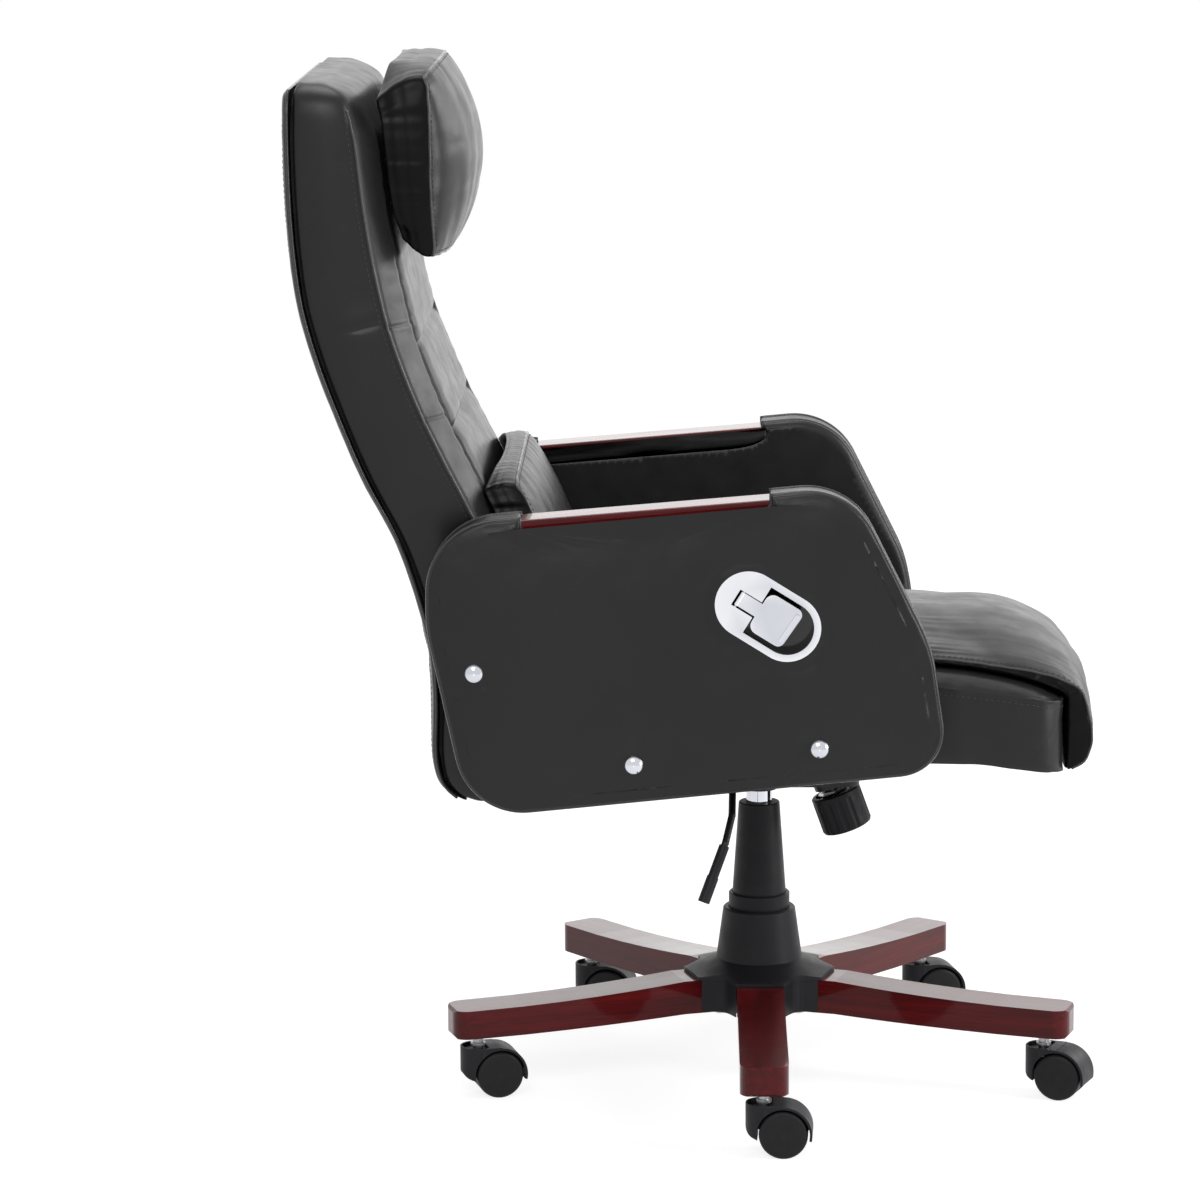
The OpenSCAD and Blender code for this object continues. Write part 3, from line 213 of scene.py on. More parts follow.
def filled(loop, step, inner=()):
    """Points and triangles that fill a flat outline, its points first, with edges along inner outlines."""
    low, high = loop.min(0), loop.max(0)
    grid = []
    for j, y in enumerate(np.arange(low[1], high[1], step * ROW_SHARE)):
        for x in np.arange(low[0] + (j % 2) * step / 2, high[0], step):
            grid.append((x, y))
    grid = np.array(grid)
    inside = np.zeros(len(grid), bool)
    near = np.full(len(grid), 1e9)
    for p, q in zip(loop, np.roll(loop, -1, 0)):
        d = q - p
        crosses = (p[1] > grid[:, 1]) != (q[1] > grid[:, 1])
        with np.errstate(divide="ignore", invalid="ignore"):
            at = d[0] * (grid[:, 1] - p[1]) / d[1] + p[0]
        inside ^= crosses & (grid[:, 0] < at)
        t = np.clip(((grid - p) @ d) / (d @ d), 0, 1)
        near = np.minimum(near, np.linalg.norm(grid - (p + t[:, None] * d), axis=1))
    grid = grid[inside & (near > step * 0.6)]
    for way in inner:
        grid = grid[np.min(np.linalg.norm(grid[:, None] - way[None], axis=2), axis=1) > step * 0.45]
    pts = np.concatenate([loop, *inner, grid])
    n = len(loop)
    edges, start = [], n
    for way in inner:
        edges += [(start + i, start + (i + 1) % len(way)) for i in range(len(way))]
        start += len(way)
    found = delaunay_2d_cdt([Vector(v) for v in pts], edges, [list(range(n))], 1, 1e-5, True)
    tris, origin = found[2], found[3]
    return pts, [tuple(origin[i][0] for i in t) for t in tris]


CLOTH_FRAMES, CLOTH_STIFFNESS, CLOTH_QUALITY = 20, 15.0, 4


def swell(o, pin, pressure, cap, shrink, bend=0.5):
    """Inflates the skin as cloth held where pin is 1, from a shape smaller by shrink.

    Each point stays within cap of where it started."""
    start = coords(o)
    press(o, -shrink * (1 - pin))
    group = o.vertex_groups.new(name="held")
    held = np.round(pin, 1)
    for w in np.unique(held[held > 0]):
        group.add(np.nonzero(held == w)[0].tolist(), float(w), "REPLACE")
    mod = o.modifiers.new("cloth", "CLOTH")
    s = mod.settings
    s.quality = CLOTH_QUALITY
    s.use_pressure = True
    s.uniform_pressure_force = pressure
    s.vertex_group_mass = "held"
    s.effector_weights.gravity = 0
    s.tension_stiffness = s.compression_stiffness = CLOTH_STIFFNESS
    s.shear_stiffness = CLOTH_STIFFNESS / 3
    s.bending_stiffness = bend
    mod.collision_settings.use_collision = False
    mod.point_cache.frame_start, mod.point_cache.frame_end = 1, CLOTH_FRAMES
    for f in range(1, CLOTH_FRAMES + 1):
        scene.frame_set(f)
    done = bpy.data.meshes.new_from_object(o.evaluated_get(bpy.context.evaluated_depsgraph_get()))
    move = read(done.vertices, "co") / MM - start
    bpy.data.meshes.remove(done)
    o.modifiers.clear()
    o.vertex_groups.clear()
    scene.frame_set(1)
    size = np.linalg.norm(move, axis=1)
    move *= (cap * np.tanh(size / cap) / np.maximum(size, 1e-6))[:, None]
    set_coords(o, start + move)


def soften(o, share, times):
    """Evens the skin, where share is 1."""
    e = read(o.data.edges, "vertices", 2, int)
    co = coords(o)
    count = np.zeros(len(co))
    np.add.at(count, e.ravel(), 1)
    for _ in range(times):
        total = np.zeros_like(co)
        np.add.at(total, e[:, 0], co[e[:, 1]])
        np.add.at(total, e[:, 1], co[e[:, 0]])
        co += (total / count[:, None] - co) * (share * 0.5)[:, None]
    set_coords(o, co)


def skin_of(o):
    return BVHTree.FromObject(o, bpy.context.evaluated_depsgraph_get())


def onto(tree, pts, lift=0.0):
    """Points and normals on the skin nearest to pts."""
    found = [tree.find_nearest(Vector(p * MM)) for p in pts]
    at, normals = (np.array([tuple(f[k]) for f in found]) for k in (0, 1))
    return at / MM + normals * lift, normals


WELT_SIDES = 8


def piping(name, pts, r, closed=True, up=(1.0, 0, 0)):
    """Round welt along points that don't run along up."""
    n, sides = len(pts), WELT_SIDES
    ahead, behind = np.roll(pts, -1, 0), np.roll(pts, 1, 0)
    if not closed:
        ahead[-1] = pts[-1] * 2 - pts[-2]
        behind[0] = pts[0] * 2 - pts[1]
    t = unit(ahead - behind)
    a = unit(np.cross(t, up))
    b = np.cross(t, a)
    angles = np.arange(sides) * 2 * np.pi / sides
    rings = np.stack([pts + r * (math.cos(q) * a + math.sin(q) * b) for q in angles], 1)
    faces = tube_faces(n, sides)
    last = (n - 1) * sides
    if closed:
        faces += [(last + k, last + (k + 1) % sides, (k + 1) % sides, k) for k in range(sides)]
    else:
        faces += [tuple(range(sides)), tuple(last + k for k in range(sides))]
    return make(name, rings.reshape(-1, 3), faces)


STITCH_PITCH, STITCH_LONG, STITCH_R, STITCH_LIFT = 6.0, 3.6, 0.42, 0.05
# Rings of a stitch: place along it, share of its radius, and how far it goes into the leather
STITCH_RINGS = ((-0.5, 0.35, 0.35), (-0.3, 1, 0.0), (0.3, 1, 0.0), (0.5, 0.35, 0.35))


def stitches(name, tree, pts, closed=False):
    """Row of sewn stitches lying on the skin along pts."""
    at, normals = onto(tree, evenly(pts, STITCH_PITCH, closed), STITCH_LIFT)
    verts, faces = [], []
    n = len(at)
    for k in range(n if closed else n - 1):
        d = at[(k + 1) % n] - at[k]
        gap = np.linalg.norm(d)
        if gap < STITCH_PITCH * 0.3 or gap > STITCH_PITCH * 3:
            continue
        d = d / gap
        side = np.cross(normals[k], d)
        side /= max(np.linalg.norm(side), 1e-9)
        up = np.cross(d, side)
        base = len(verts)
        for x, share, sink in STITCH_RINGS:
            for q in range(6):
                a = q * math.pi / 3
                around = (side * math.cos(a) + up * math.sin(a)) * STITCH_R * share
                verts.append(at[k] + d * x * STITCH_LONG + around - up * sink)
        faces += tube_faces(4, 6, base)
        faces += [tuple(base + q for q in range(5, -1, -1)), tuple(base + 18 + q for q in range(6))]
    return make(name, verts, faces)


# Materials

def fill_in(tree, n, values):
    """Sets a node's options and sockets, and links a socket whose value is another node's output."""
    for k, v in values.items():
        if k not in n.inputs:
            setattr(n, k, v)
        elif isinstance(v, bpy.types.NodeSocket):
            tree.links.new(v, n.inputs[k])
        else:
            n.inputs[k].default_value = v
    return n


def node(tree, kind, **values):
    return fill_in(tree, tree.nodes.new(kind), values)


def material(name):
    m = bpy.data.materials.new(name)
    m.use_nodes = True
    return m, m.node_tree, m.node_tree.nodes["Principled BSDF"]


def mapped(tree, vector, scale, turn=(0, 0, 0)):
    return node(tree, "ShaderNodeMapping", Vector=vector, Scale=scale, Rotation=turn).outputs["Vector"]


def place(tree, scale=(1, 1, 1), turn=(0, 0, 0)):
    """The object's own coordinates, in metres."""
    return mapped(tree, node(tree, "ShaderNodeTexCoord").outputs["Object"], scale, turn)


def noise(tree, vector, scale, detail=3.0, rough=0.55, distort=0.0):
    return node(tree, "ShaderNodeTexNoise", Vector=vector, Scale=scale, Detail=detail, Roughness=rough,
                Distortion=distort).outputs["Fac"]


def ramp(tree, fac, stops):
    """Colours at stops between 0 and 1, each three numbers, or one for a grey."""
    n = node(tree, "ShaderNodeValToRGB", Fac=fac)
    while len(n.color_ramp.elements) < len(stops):
        n.color_ramp.elements.new(0.5)
    for e, (p, c) in zip(n.color_ramp.elements, stops):
        e.position = p
        e.color = (c, c, c, 1) if isinstance(c, float) else (*c, 1)
    return n.outputs["Color"]


def spread(tree, value, low, high, a=0.3, b=0.7):
    """The value, brought from between a and b to between low and high."""
    values = {"Value": value, "From Min": a, "From Max": b, "To Min": low, "To Max": high}
    return node(tree, "ShaderNodeMapRange", **values).outputs["Result"]


def bumps(tree, heights):
    """Normal of stacked bumps, each a height, a strength and a distance in metres."""
    last = {}
    for height, strength, distance in heights:
        b = node(tree, "ShaderNodeBump", Strength=strength, Distance=distance, Height=height, **last)
        last = {"Normal": b.outputs["Normal"]}
    return last["Normal"]


def mixed(tree, a, b, factor, how="MIX"):
    return node(tree, "ShaderNodeMix", data_type="RGBA", blend_type=how, Factor=factor, A=a,
                B=b).outputs["Result"]


def edge_highlighted(tree, tone, low, high, edge, most, sharp):
    """Colour from low to high with the tone, and up to most of the edge's colour where it is sharp: sharp
    edges painted lighter, as a highlight.
    """
    sharpness = node(tree, "ShaderNodeNewGeometry").outputs["Pointiness"]
    return mixed(tree, ramp(tree, tone, [(0.3, low), (0.7, high)]), (*edge, 1),
                 spread(tree, sharpness, 0.0, most, *sharp))


def leather(name, dark, light, rough=(0.29, 0.4), gloss=0.28):
    """Leather with a fine cracked grain and broader dents."""
    m, t, s = material(name)
    v = place(t)
    wobble = node(t, "ShaderNodeTexNoise", Vector=v, Scale=300.0).outputs["Color"]
    small = node(t, "ShaderNodeVectorMath", operation="SCALE", Vector=wobble, Scale=0.0012)
    warp = node(t, "ShaderNodeVectorMath", operation="ADD", Vector=v)
    t.links.new(small.outputs["Vector"], warp.inputs[1])
    cells = node(t, "ShaderNodeTexVoronoi", feature="DISTANCE_TO_EDGE", Vector=warp.outputs["Vector"],
                 Scale=620.0)
    grain = spread(t, cells.outputs["Distance"], 0.0, 1.0, 0.0, 0.12)
    # Sharp edges of the leather are painted nearly twice as light: a painted highlight.
    edge = [c * 1.9 for c in light]
    fill_in(t, s, {
        "Base Color": edge_highlighted(t, noise(t, v, 7.0, 4.0), dark, light, edge, 0.5, (0.53, 0.62)),
        "Roughness": spread(t, noise(t, v, 38.0, 4.0), *rough), "Specular IOR Level": gloss,
        "Normal": bumps(t, [(noise(t, v, 90.0, 3.0), 0.12, 0.0006), (grain, 0.16, 0.0002),
                            (noise(t, v, 2600.0, 2.0), 0.08, 0.0001)])})
    return m


def wood(name, turn):
    """Lacquered red wood, its grain along x turned by an angle."""
    m, t, s = material(name)
    v = place(t, turn=(0, 0, turn))
    figure = noise(t, mapped(t, v, (3.0, 42.0, 42.0)), 1.0, 4.0, 0.6, 0.8)
    pores = noise(t, mapped(t, v, (28.0, 900.0, 900.0)), 1.0, 2.0)
    base = ramp(t, figure, [(0.25, (0.042, 0.001, 0.0014)), (0.5, (0.095, 0.0026, 0.0036)),
                            (0.75, (0.15, 0.006, 0.0075))])
    fill_in(t, s, {
        "Base Color": mixed(t, base, ramp(t, pores, [(0.35, 0.45), (0.6, 1.0)]), 0.6, "MULTIPLY"),
        "Roughness": spread(t, figure, 0.3, 0.42), "Specular IOR Level": 0.1, "Coat Weight": 1.0,
        "Coat IOR": 1.22, "Coat Roughness": 0.06,
        "Normal": bumps(t, [(figure, 0.05, 0.0004), (pores, 0.05, 0.0001)])})
    return m


def hard(name, low, high, rough, metal=0.0, scale=30.0, dents=((900.0, 0.1, 0.0001),), spec=0.5,
         stretch=(1, 1, 1)):
    """Metal, plastic, thread or board; each dent is a noise scale, a strength and a distance in metres."""
    m, t, s = material(name)
    v = place(t, stretch)
    # Sharp edges are painted lighter: a painted highlight.
    edge = [min(1, c * 1.6 + 0.004) for c in high]
    fill_in(t, s, {
        "Base Color": edge_highlighted(t, noise(t, v, scale, 4.0), low, high, edge, 0.6, (0.54, 0.66)),
        "Roughness": spread(t, noise(t, v, scale * 3.0, 4.0), *rough), "Metallic": metal,
        "Specular IOR Level": spec, "Normal": bumps(t, [(noise(t, v, k, 2.0), a, d) for k, a, d in dents])})
    return m


CHROME = ((0.55, 0.56, 0.61), (0.62, 0.63, 0.68), (0.06, 0.13), 1.0, 14.0, ((400.0, 0.015, 0.0001),))
# From the second x inward the escutcheon's cup is painted black and not metallic, as the shade inside the
# recess.
PLATE_X, SHADE_X = -0.2952, -0.2935


def plate_with_painted_shade():
    """Bright plate of the escutcheon out to PLATE_X, in metres, and inside its cup, from the second x inward,
    a black, non-metal colour: painted shade.
    """
    m = hard("chrome_plate", *CHROME)
    t = m.node_tree
    s = t.nodes["Principled BSDF"]
    object_place = node(t, "ShaderNodeTexCoord").outputs["Object"]
    x = node(t, "ShaderNodeSeparateXYZ", Vector=object_place).outputs["X"]
    # Black colour of the cup: painted shade.
    cup_shade = ramp(t, noise(t, place(t), 60.0), [(0.3, (0.006, 0.006, 0.007)), (0.7, (0.011, 0.011, 0.012))])
    bright = s.inputs["Base Color"].links[0].from_socket
    fill_in(t, s, {"Base Color": mixed(t, bright, cup_shade, spread(t, x, 0.0, 1.0, PLATE_X, SHADE_X)),
                   "Metallic": spread(t, x, 1.0, 0.0, PLATE_X, SHADE_X)})
    return m


grey = leather("leather_grey", (0.008, 0.008, 0.0081), (0.0115, 0.0115, 0.0117))
# The strip's leather is a darker copy of the grey leather: painted shade on the pillows' end strips and on
# the pad's gussets and underside.
strip = leather("leather_painted_shade", (0.0022, 0.0022, 0.0022), (0.0036, 0.0036, 0.0036), (0.26, 0.38), 0.1)
# The welt leather is a lighter copy of the grey leather: its lighter colour is a painted highlight along the
# welts.
welt = leather("leather_welt_painted_highlight", (0.024, 0.024, 0.0245), (0.036, 0.036, 0.0365), (0.2, 0.3), 0.35)
thread = hard("thread", (0.012, 0.012, 0.013), (0.022, 0.022, 0.023), (0.6, 0.75),
              dents=((3000.0, 0.3, 0.0002),))
plastic = hard("moulded_plastic", (0.0095, 0.0095, 0.0115), (0.013, 0.013, 0.0155), (0.4, 0.52), scale=18.0,
               dents=((1600.0, 0.1, 0.0001), (60.0, 0.04, 0.0004)), spec=0.18)
tyre = hard("wheel_plastic", (0.007, 0.007, 0.008), (0.011, 0.011, 0.012), (0.42, 0.6), scale=40.0,
            dents=((700.0, 0.14, 0.0002),), spec=0.22)
painted = hard("painted_metal", (0.009, 0.009, 0.011), (0.014, 0.014, 0.017), (0.32, 0.45), scale=25.0,
               dents=((1200.0, 0.12, 0.0001),), spec=0.3)
chrome = hard("chrome", *CHROME)
steel = hard("steel", (0.32, 0.32, 0.33), (0.46, 0.46, 0.47), (0.25, 0.42), 1.0, 40.0,
             ((1500.0, 0.08, 0.0001),))
ply = hard("plywood", (0.34, 0.22, 0.12), (0.5, 0.36, 0.22), (0.6, 0.75), 0.0, 10.0, ((300.0, 0.2, 0.0003),),
           stretch=(1, 1, 30))
board = hard("board_edge", (0.006, 0.006, 0.0062), (0.012, 0.0115, 0.011), (0.65, 0.8), 0.0, 40.0,
             ((500.0, 0.25, 0.0003), (2400.0, 0.2, 0.0002)), 0.15)
rail_wood = wood("wood_rail", math.pi / 2)

# The frame's own nodes

node_materials = {
    "pull_escutcheon": plate_with_painted_shade(), "seat_frame": ply, "back_shell": board,
    **dict.fromkeys(("gas_tube", "arm_caps", "pull_paddle"), chrome),
    **dict.fromkeys(("mech_housing", "seat_bracket", "hub_socket", "gas_cylinder", "back_brackets",
                     "height_lever"), painted),
    **dict.fromkeys(("leg_bolts", "caster_stems", "valve_button", "tilt_axle", "tension_bolt", "tilt_spring",
                     "rocker_pin", "valve_rocker", "bracket_bolts", "arm_bolts", "paddle_pin"), steel)}
LEG_TURN = 72


def node_material(name):
    if name in node_materials:
        return node_materials[name]
    if name.startswith("leg_"):
        return wood("wood_" + name, -math.radians(180 + LEG_TURN * (int(name[-1]) - 1)))
    if name.startswith("arm_rail"):
        return rail_wood
    return tyre if name.startswith("caster_wheel") else plastic


for node_name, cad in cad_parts.items():
    cad.data.materials.clear()
    cad.data.materials.append(node_material(node_name))


# Finishing of the pieces

def dress(o, mat, body):
    o.data.materials.append(mat)
    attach(o, body)


def cushion(o, body, replaced):
    """Finishes a skin that stands for a padded node."""
    finer = o.modifiers.new("finer", "SUBSURF")
    finer.levels = finer.render_levels = 1
    finer.use_limit_surface = False
    dress(o, grey, body)
    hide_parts(replaced)


def paint_shade_on(o, chosen):
    """Gives the chosen faces the strip's leather, a darker copy of the grey leather that paints shade on
    them.
    """
    o.data.materials.append(strip)
    o.data.polygons.foreach_set("material_index", chosen.astype(int))


def add_welt(name, pts, r, body, closed=True, up=(1.0, 0, 0)):
    # Welts get the lighter leather: a painted highlight.
    dress(piping(name, pts, r, closed, up), welt, body)


def add_stitches(name, tree, pts, body, closed=False):
    dress(stitches(name, tree, pts, closed), thread, body)


# Backrest

BACK_LOW, BACK_HIGH = 348.0, 1081.0
BACK_HALF, BACK_CORNER = 230.0, 32.0
BACK_WAIST = 4
BACK_TOP_ROUND, BACK_LOW_ROUND = 17, 9
BACK_CROWN = 42.0
REAR_T, SHELL_T = 9.0, 5.0
SHELL_LAP = 1.8
SIDE_BULGE, SIDE_TUCK = 4.5, 1.5
rear_line = [[346, 302], [350, 316], [358, 327], [370, 335], [395, 340], [450, 339], [500, 342], [560, 356],
             [620, 377], [680, 408], [740, 433], [800, 455], [860, 471], [930, 479], [1000, 482], [1060, 482],
             [1092, 480]]
seam_line = [[345, 272], [380, 259], [450, 254], [520, 257], [580, 268], [640, 292], [700, 322], [760, 350],
             [820, 372], [880, 387], [950, 399], [1020, 407], [1060, 412], [1092, 418]]
CHANNELS = (812.0, 726.0)
BOLSTER_SEAMS = (836.0, 742.0)
SIDE_SEAM, SIDE_SEAM_DROP = 841, 17
VALLEY = 178.0


def back_rear(z):
    return curve(rear_line, z)


def back_seam(z):
    return curve(seam_line, z)


def back_width(z):
    """Half width: less below the waist, and round at the top corners."""
    up = np.maximum(0, z - (BACK_HIGH - BACK_CORNER))
    corner = np.sqrt(np.maximum(0, BACK_CORNER**2 - up**2 * 0.985))
    return BACK_HALF - BACK_WAIST * smooth(655, 600, z) - BACK_CORNER + corner


def back_front(x, z):
    """Front of the backrest: bolsters at the sides, and a lower part between them with two channels."""
    a = np.abs(x)
    u = np.minimum(1, a / back_width(z))
    fade = np.minimum(1, (BACK_HIGH + 4 - z) / 58) ** 0.8 * np.clip((z - 350) / 150, 0.06, 1)
    inside = smooth(VALLEY + 4, VALLEY - 4, a)
    groove = sum(bump(z - c, 5.5) for c in CHANNELS)
    high, low = CHANNELS
    above = smooth(high, high + 45, z) * smooth(1085, 960, z)
    between = np.sin(np.pi * np.clip((z - low) / (high - low), 0, 1)) ** 0.6
    below = smooth(low, low - 45, z) * smooth(500, 620, z)
    panel = np.where(z > high, above, np.where(z > low, between, below))
    y = back_seam(z) - BACK_CROWN * fade * np.maximum(0, 1 - u**2.5) ** 0.7
    y = y - 3.5 * panel * inside * (1 - (a / VALLEY) ** 4).clip(0) + 3.6 * groove * inside
    y = y - 3.0 * fade * (1 - inside) * np.sin(np.pi * np.clip((a - VALLEY) / (back_width(z) - VALLEY), 0, 1))
    return y + 6.0 * fade * bump(a - VALLEY, 7)


def back_ring(z, us, sides):
    """Outline at height z: front, far side, four points of the flat rear, near side."""
    w, rear, seam = float(back_width(z)), float(back_rear(z)) - REAR_T - SHELL_T, float(back_seam(z))
    top = max(0.25, 1 - max(0, (z - (BACK_HIGH - BACK_TOP_ROUND)) / BACK_TOP_ROUND) ** 2.6) ** 0.5
    end = top * np.sqrt(max(0.3, 1 - max(0, (BACK_LOW + BACK_LOW_ROUND - z) / BACK_LOW_ROUND) ** 2 * 0.6))
    front = np.stack([us * w, back_front(us * w, z)], 1)
    far = np.stack([w + SIDE_BULGE * np.sin(np.pi * sides) - SIDE_TUCK * (sides == 1),
                    seam + (rear + SHELL_LAP - seam) * sides], 1)
    flat = [[w - 5, rear + 2], [w - 7, rear], [-w + 7, rear], [-w + 5, rear + 2]]
    ring = np.concatenate([front, far, flat, far[::-1] * [-1, 1]])
    mid = rear - 5 if z > 700 else seam + (rear - seam) * 0.55
    ring[:, 1] = mid + (ring[:, 1] - mid) * end
    return level(ring, z)


def upholster_back():
    zs = lines(BACK_LOW, BACK_HIGH, 6.0, CHANNELS + BOLSTER_SEAMS, (0.0, 1.6, 3.4, 6.0))
    zs = closer(zs, BACK_HIGH, BACK_TOP_ROUND, 7)
    # Columns stand at the edges and round the valleys only: the front is straight across between them
    columns = [round(VALLEY / BACK_HALF, 3), 0.992, 1.0]
    columns += [(VALLEY + d) / BACK_HALF for d in (-7, -3.5, 3.5, 7)]
    us = np.array(sorted(columns + [-u for u in columns]))
    sides = np.linspace(0, 1, 15)[1:]
    rings = [back_ring(z, us, sides) for z in zs]
    n, front_n, side_n = len(rings[0]), len(us), len(sides)
    o, skip = tube("back_leather", rings)
    co = coords(o)
    x, y, z = co.T
    index = np.arange(len(co))
    col = index % n
    front = (col < front_n) & (index >= skip) & (index < len(co) - skip)
    side = (col >= front_n) & ~((col >= front_n + side_n) & (col < front_n + side_n + 4))
    edge = (col == 0) | (col == front_n - 1)
    a = np.abs(x)
    seam_d = np.abs(a - VALLEY)
    channel_d = np.min([np.abs(z - c) for c in CHANNELS], 0)
    roll_d = np.min([np.abs(z - c) for c in BOLSTER_SEAMS], 0)
    sewn = np.where(a < VALLEY, bump(channel_d, 4), bump(roll_d, 3) * 0.8)
    pin = np.where(front, np.maximum(bump(seam_d, 4), sewn), 1)
    pin = np.where(side, 0.35, pin)
    pin = np.where(edge | (z < 380) | (z > BACK_HIGH - 14), 1, pin)
    swell(o, pin, pressure=3.0, cap=5.0, shrink=1.5)
    body_part = smooth(480, 560, z) * smooth(1081, 1040, z)
    inner = front * smooth(VALLEY + 5, VALLEY - 5, a)
    outer = front * smooth(VALLEY - 5, VALLEY + 5, a)
    d = -1.9 * inner * bump(channel_d, 2.2)
    d += inner * 1.1 * np.exp(-channel_d / 16) * ripple(x, 3, 17)
    d -= 1.6 * front * bump(seam_d, 2.2) * body_part
    d += front * 0.8 * np.exp(-seam_d / 13) * ripple(z, 5, 21) * body_part
    d -= 1.9 * outer * bump(roll_d, 2.0) * body_part
    d += outer * 0.8 * np.exp(-roll_d / 9) * ripple(a, 7, 9)
    d += inner * body_part * (0.9 * streaks(x, z, 11, 46, 260) + 0.5 * crease(x + 20, z, 12, 80, 300))
    seam_y = back_seam(z)
    share = np.clip((y - seam_y) / np.maximum(back_rear(z) - REAR_T - SHELL_T - seam_y, 1), 0, 1)
    seam_z = SIDE_SEAM - SIDE_SEAM_DROP * share
    d -= side * 1.6 * bump(z - seam_z, 2.6) * smooth(0.75, 0.3, share)
    swollen = 0.7 * bump(z - seam_z - 10, 9) + 0.5 * bump(z - seam_z + 12, 10)
    d += side * swollen * smooth(0.85, 0.3, share)
    d += side * body_part * 0.55 * streaks(y, z, 15, 70, 420)
    d -= only(edge, 0.9)
    press(o, d)
    soften(o, smooth(BACK_HIGH - 60, BACK_HIGH - 25, z) * smooth(8, 30, back_rear(z) - y), 8)
    cushion(o, "back", "back_cushion")
    tree = skin_of(o)
    zl = np.arange(470, 1058, 5.0)
    for k, s in (("near", -1), ("far", 1)):
        rim = np.stack([s * (back_width(zl) + 0.4), back_seam(zl) + 0.5, zl], 1)
        add_welt("back_welt_" + k, onto(tree, rim)[0], 1.7, "back", closed=False)
        row = np.stack([s * (back_width(zl) + 2), back_seam(zl) + 6.5, zl], 1)
        add_stitches("back_side_stitches_" + k, tree, row, "back")


# Rear cover of the backrest

COVER_TOP = BACK_HIGH - 7.0
COVER_ROUND, COVER_LIP = 9, 2
COVER_SEAM = 20
COVER_STITCHES = 24


def cover_ring(z, ts):
    """Outline at height z: the rounded rear at shares ts of the width, then five points of the flat front."""
    w, rear = float(back_width(z)) + 0.5, float(back_rear(z))
    front = rear - REAR_T
    top = math.sqrt(max(0.05, 1 - max(0, 1 - (COVER_TOP - z) / COVER_ROUND) ** 2))
    end = min(1, 0.35 + (z - BACK_LOW) / 14, top)
    y = front + end * (COVER_LIP + (REAR_T - COVER_LIP) * np.maximum(0, 1 - np.abs(ts) ** 24) ** 0.5)
    flat = [[w - 1.5, front], [w * 0.5, front], [0, front], [-w * 0.5, front], [-w + 1.5, front]]
    return level(np.concatenate([np.stack([ts * w, y], 1), flat]), z)


def cover_rear():
    zs = lines(BACK_LOW + 0.5, COVER_TOP, 9.0)
    zs = closer(zs, COVER_TOP, COVER_ROUND, 5)
    edge_ts = [0.965, 0.985, 0.994, 1]
    ts = np.concatenate([[-t for t in edge_ts[::-1]], np.linspace(-0.93, 0.93, 34), edge_ts])
    rings = [cover_ring(z, ts) for z in zs]
    o, _ = tube("back_cover_leather", rings, (0.97, 0.8, 0.5, 0.2))
    co = coords(o)
    x, y, z = co.T
    out = np.arange(len(co)) % len(rings[0]) < len(ts)
    rim = np.minimum(back_width(z) - np.abs(x), np.minimum(z - BACK_LOW, BACK_HIGH - z))
    pin = np.where(out, smooth(22, 8, rim), 1.0)
    swell(o, pin, pressure=2.0, cap=3.0, shrink=1.0)
    free = only(out, smooth(4, 30, rim))
    d = free * (0.8 * streaks(x, z, 21, 90, 500) + 0.5 * crease(z, x, 22, 150, 500) * smooth(80, 20, rim))
    d -= only(out, 1.3 * bump(rim - COVER_SEAM, 2.4))
    d += only(out, 0.7 * np.exp(-np.abs(rim - COVER_SEAM) / 10) * ripple(x + z, 23, 24))
    press(o, d)
    cushion(o, "back", "rear_cover")
    zl = np.r_[np.arange(BACK_LOW + 4, BACK_HIGH - 60, 5.0), np.linspace(BACK_HIGH - 60, BACK_HIGH - 8, 24)]
    near = np.stack([-(back_width(zl) + 0.3), back_rear(zl) - REAR_T + 2.4, zl], 1)
    loop = evenly(np.concatenate([near, near[::-1] * [-1, 1, 1]]), 5.0, True)
    add_welt("back_cover_welt", loop, 1.5, "back", up=(0, 1, 0))
    bend, end = BACK_HIGH - 85, BACK_HIGH - COVER_STITCHES
    zl = np.r_[np.arange(BACK_LOW + COVER_STITCHES, bend, 5.0), np.linspace(bend, end, 14)]
    pull = np.interp(zl, [bend, end], [0, COVER_STITCHES])
    near = np.stack([-(back_width(zl) - COVER_STITCHES - pull * 0.3), back_rear(zl), zl], 1)
    loop = np.concatenate([near, near[::-1] * [-1, 1, 1]])
    add_stitches("back_cover_stitches", skin_of(o), loop, "back", closed=True)


# Pillows: a front panel, a boxing strip round it and a flat rear

PILLOW_STEP, PILLOW_BAND = 6, 9


def pillow_rear(x, z):
    """The crown that a pillow's rear follows."""
    u = np.minimum(0.999, np.abs(x) / back_width(np.minimum(z, BACK_HIGH - 70)))
    return back_seam(z) - 0.8 - BACK_CROWN * (1 - u**2.5) ** 0.7


def slump(u, v, slack):
    """How far the corners of a pillow's rear draw in up or down, at shares u across and v up."""
    drop = slack * smooth(0.6, 1, np.abs(u)) * (0.8 * smooth(0.28, 0, v) - smooth(0.72, 1, v))
    return np.column_stack([0 * u, 0 * u, drop])


def pillow_faces(nu, nv, loop, bands):
    """Faces of the front, the rear and the strip between them, and the strip's rows of points."""
    def at(i, j):
        return i * nv + j
    nb, base = len(loop), nu * nv
    rear_base = base + nb * bands
    faces = [(at(i, j), at(i + 1, j), at(i + 1, j + 1), at(i, j + 1))
             for i in range(nu - 1) for j in range(nv - 1)]
    faces += [tuple(rear_base + k for k in f) for f in faces]
    rows = [[at(i, j) for i, j in loop]] + [[base + r * nb + k for k in range(nb)] for r in range(bands)]
    rows += [[rear_base + at(i, j) for i, j in loop]]
    for one, two in zip(rows, rows[1:]):
        for k in range(nb):
            q = (k + 1) % nb
            faces.append((one[k], one[q], two[q], two[k]))
    return faces, rows


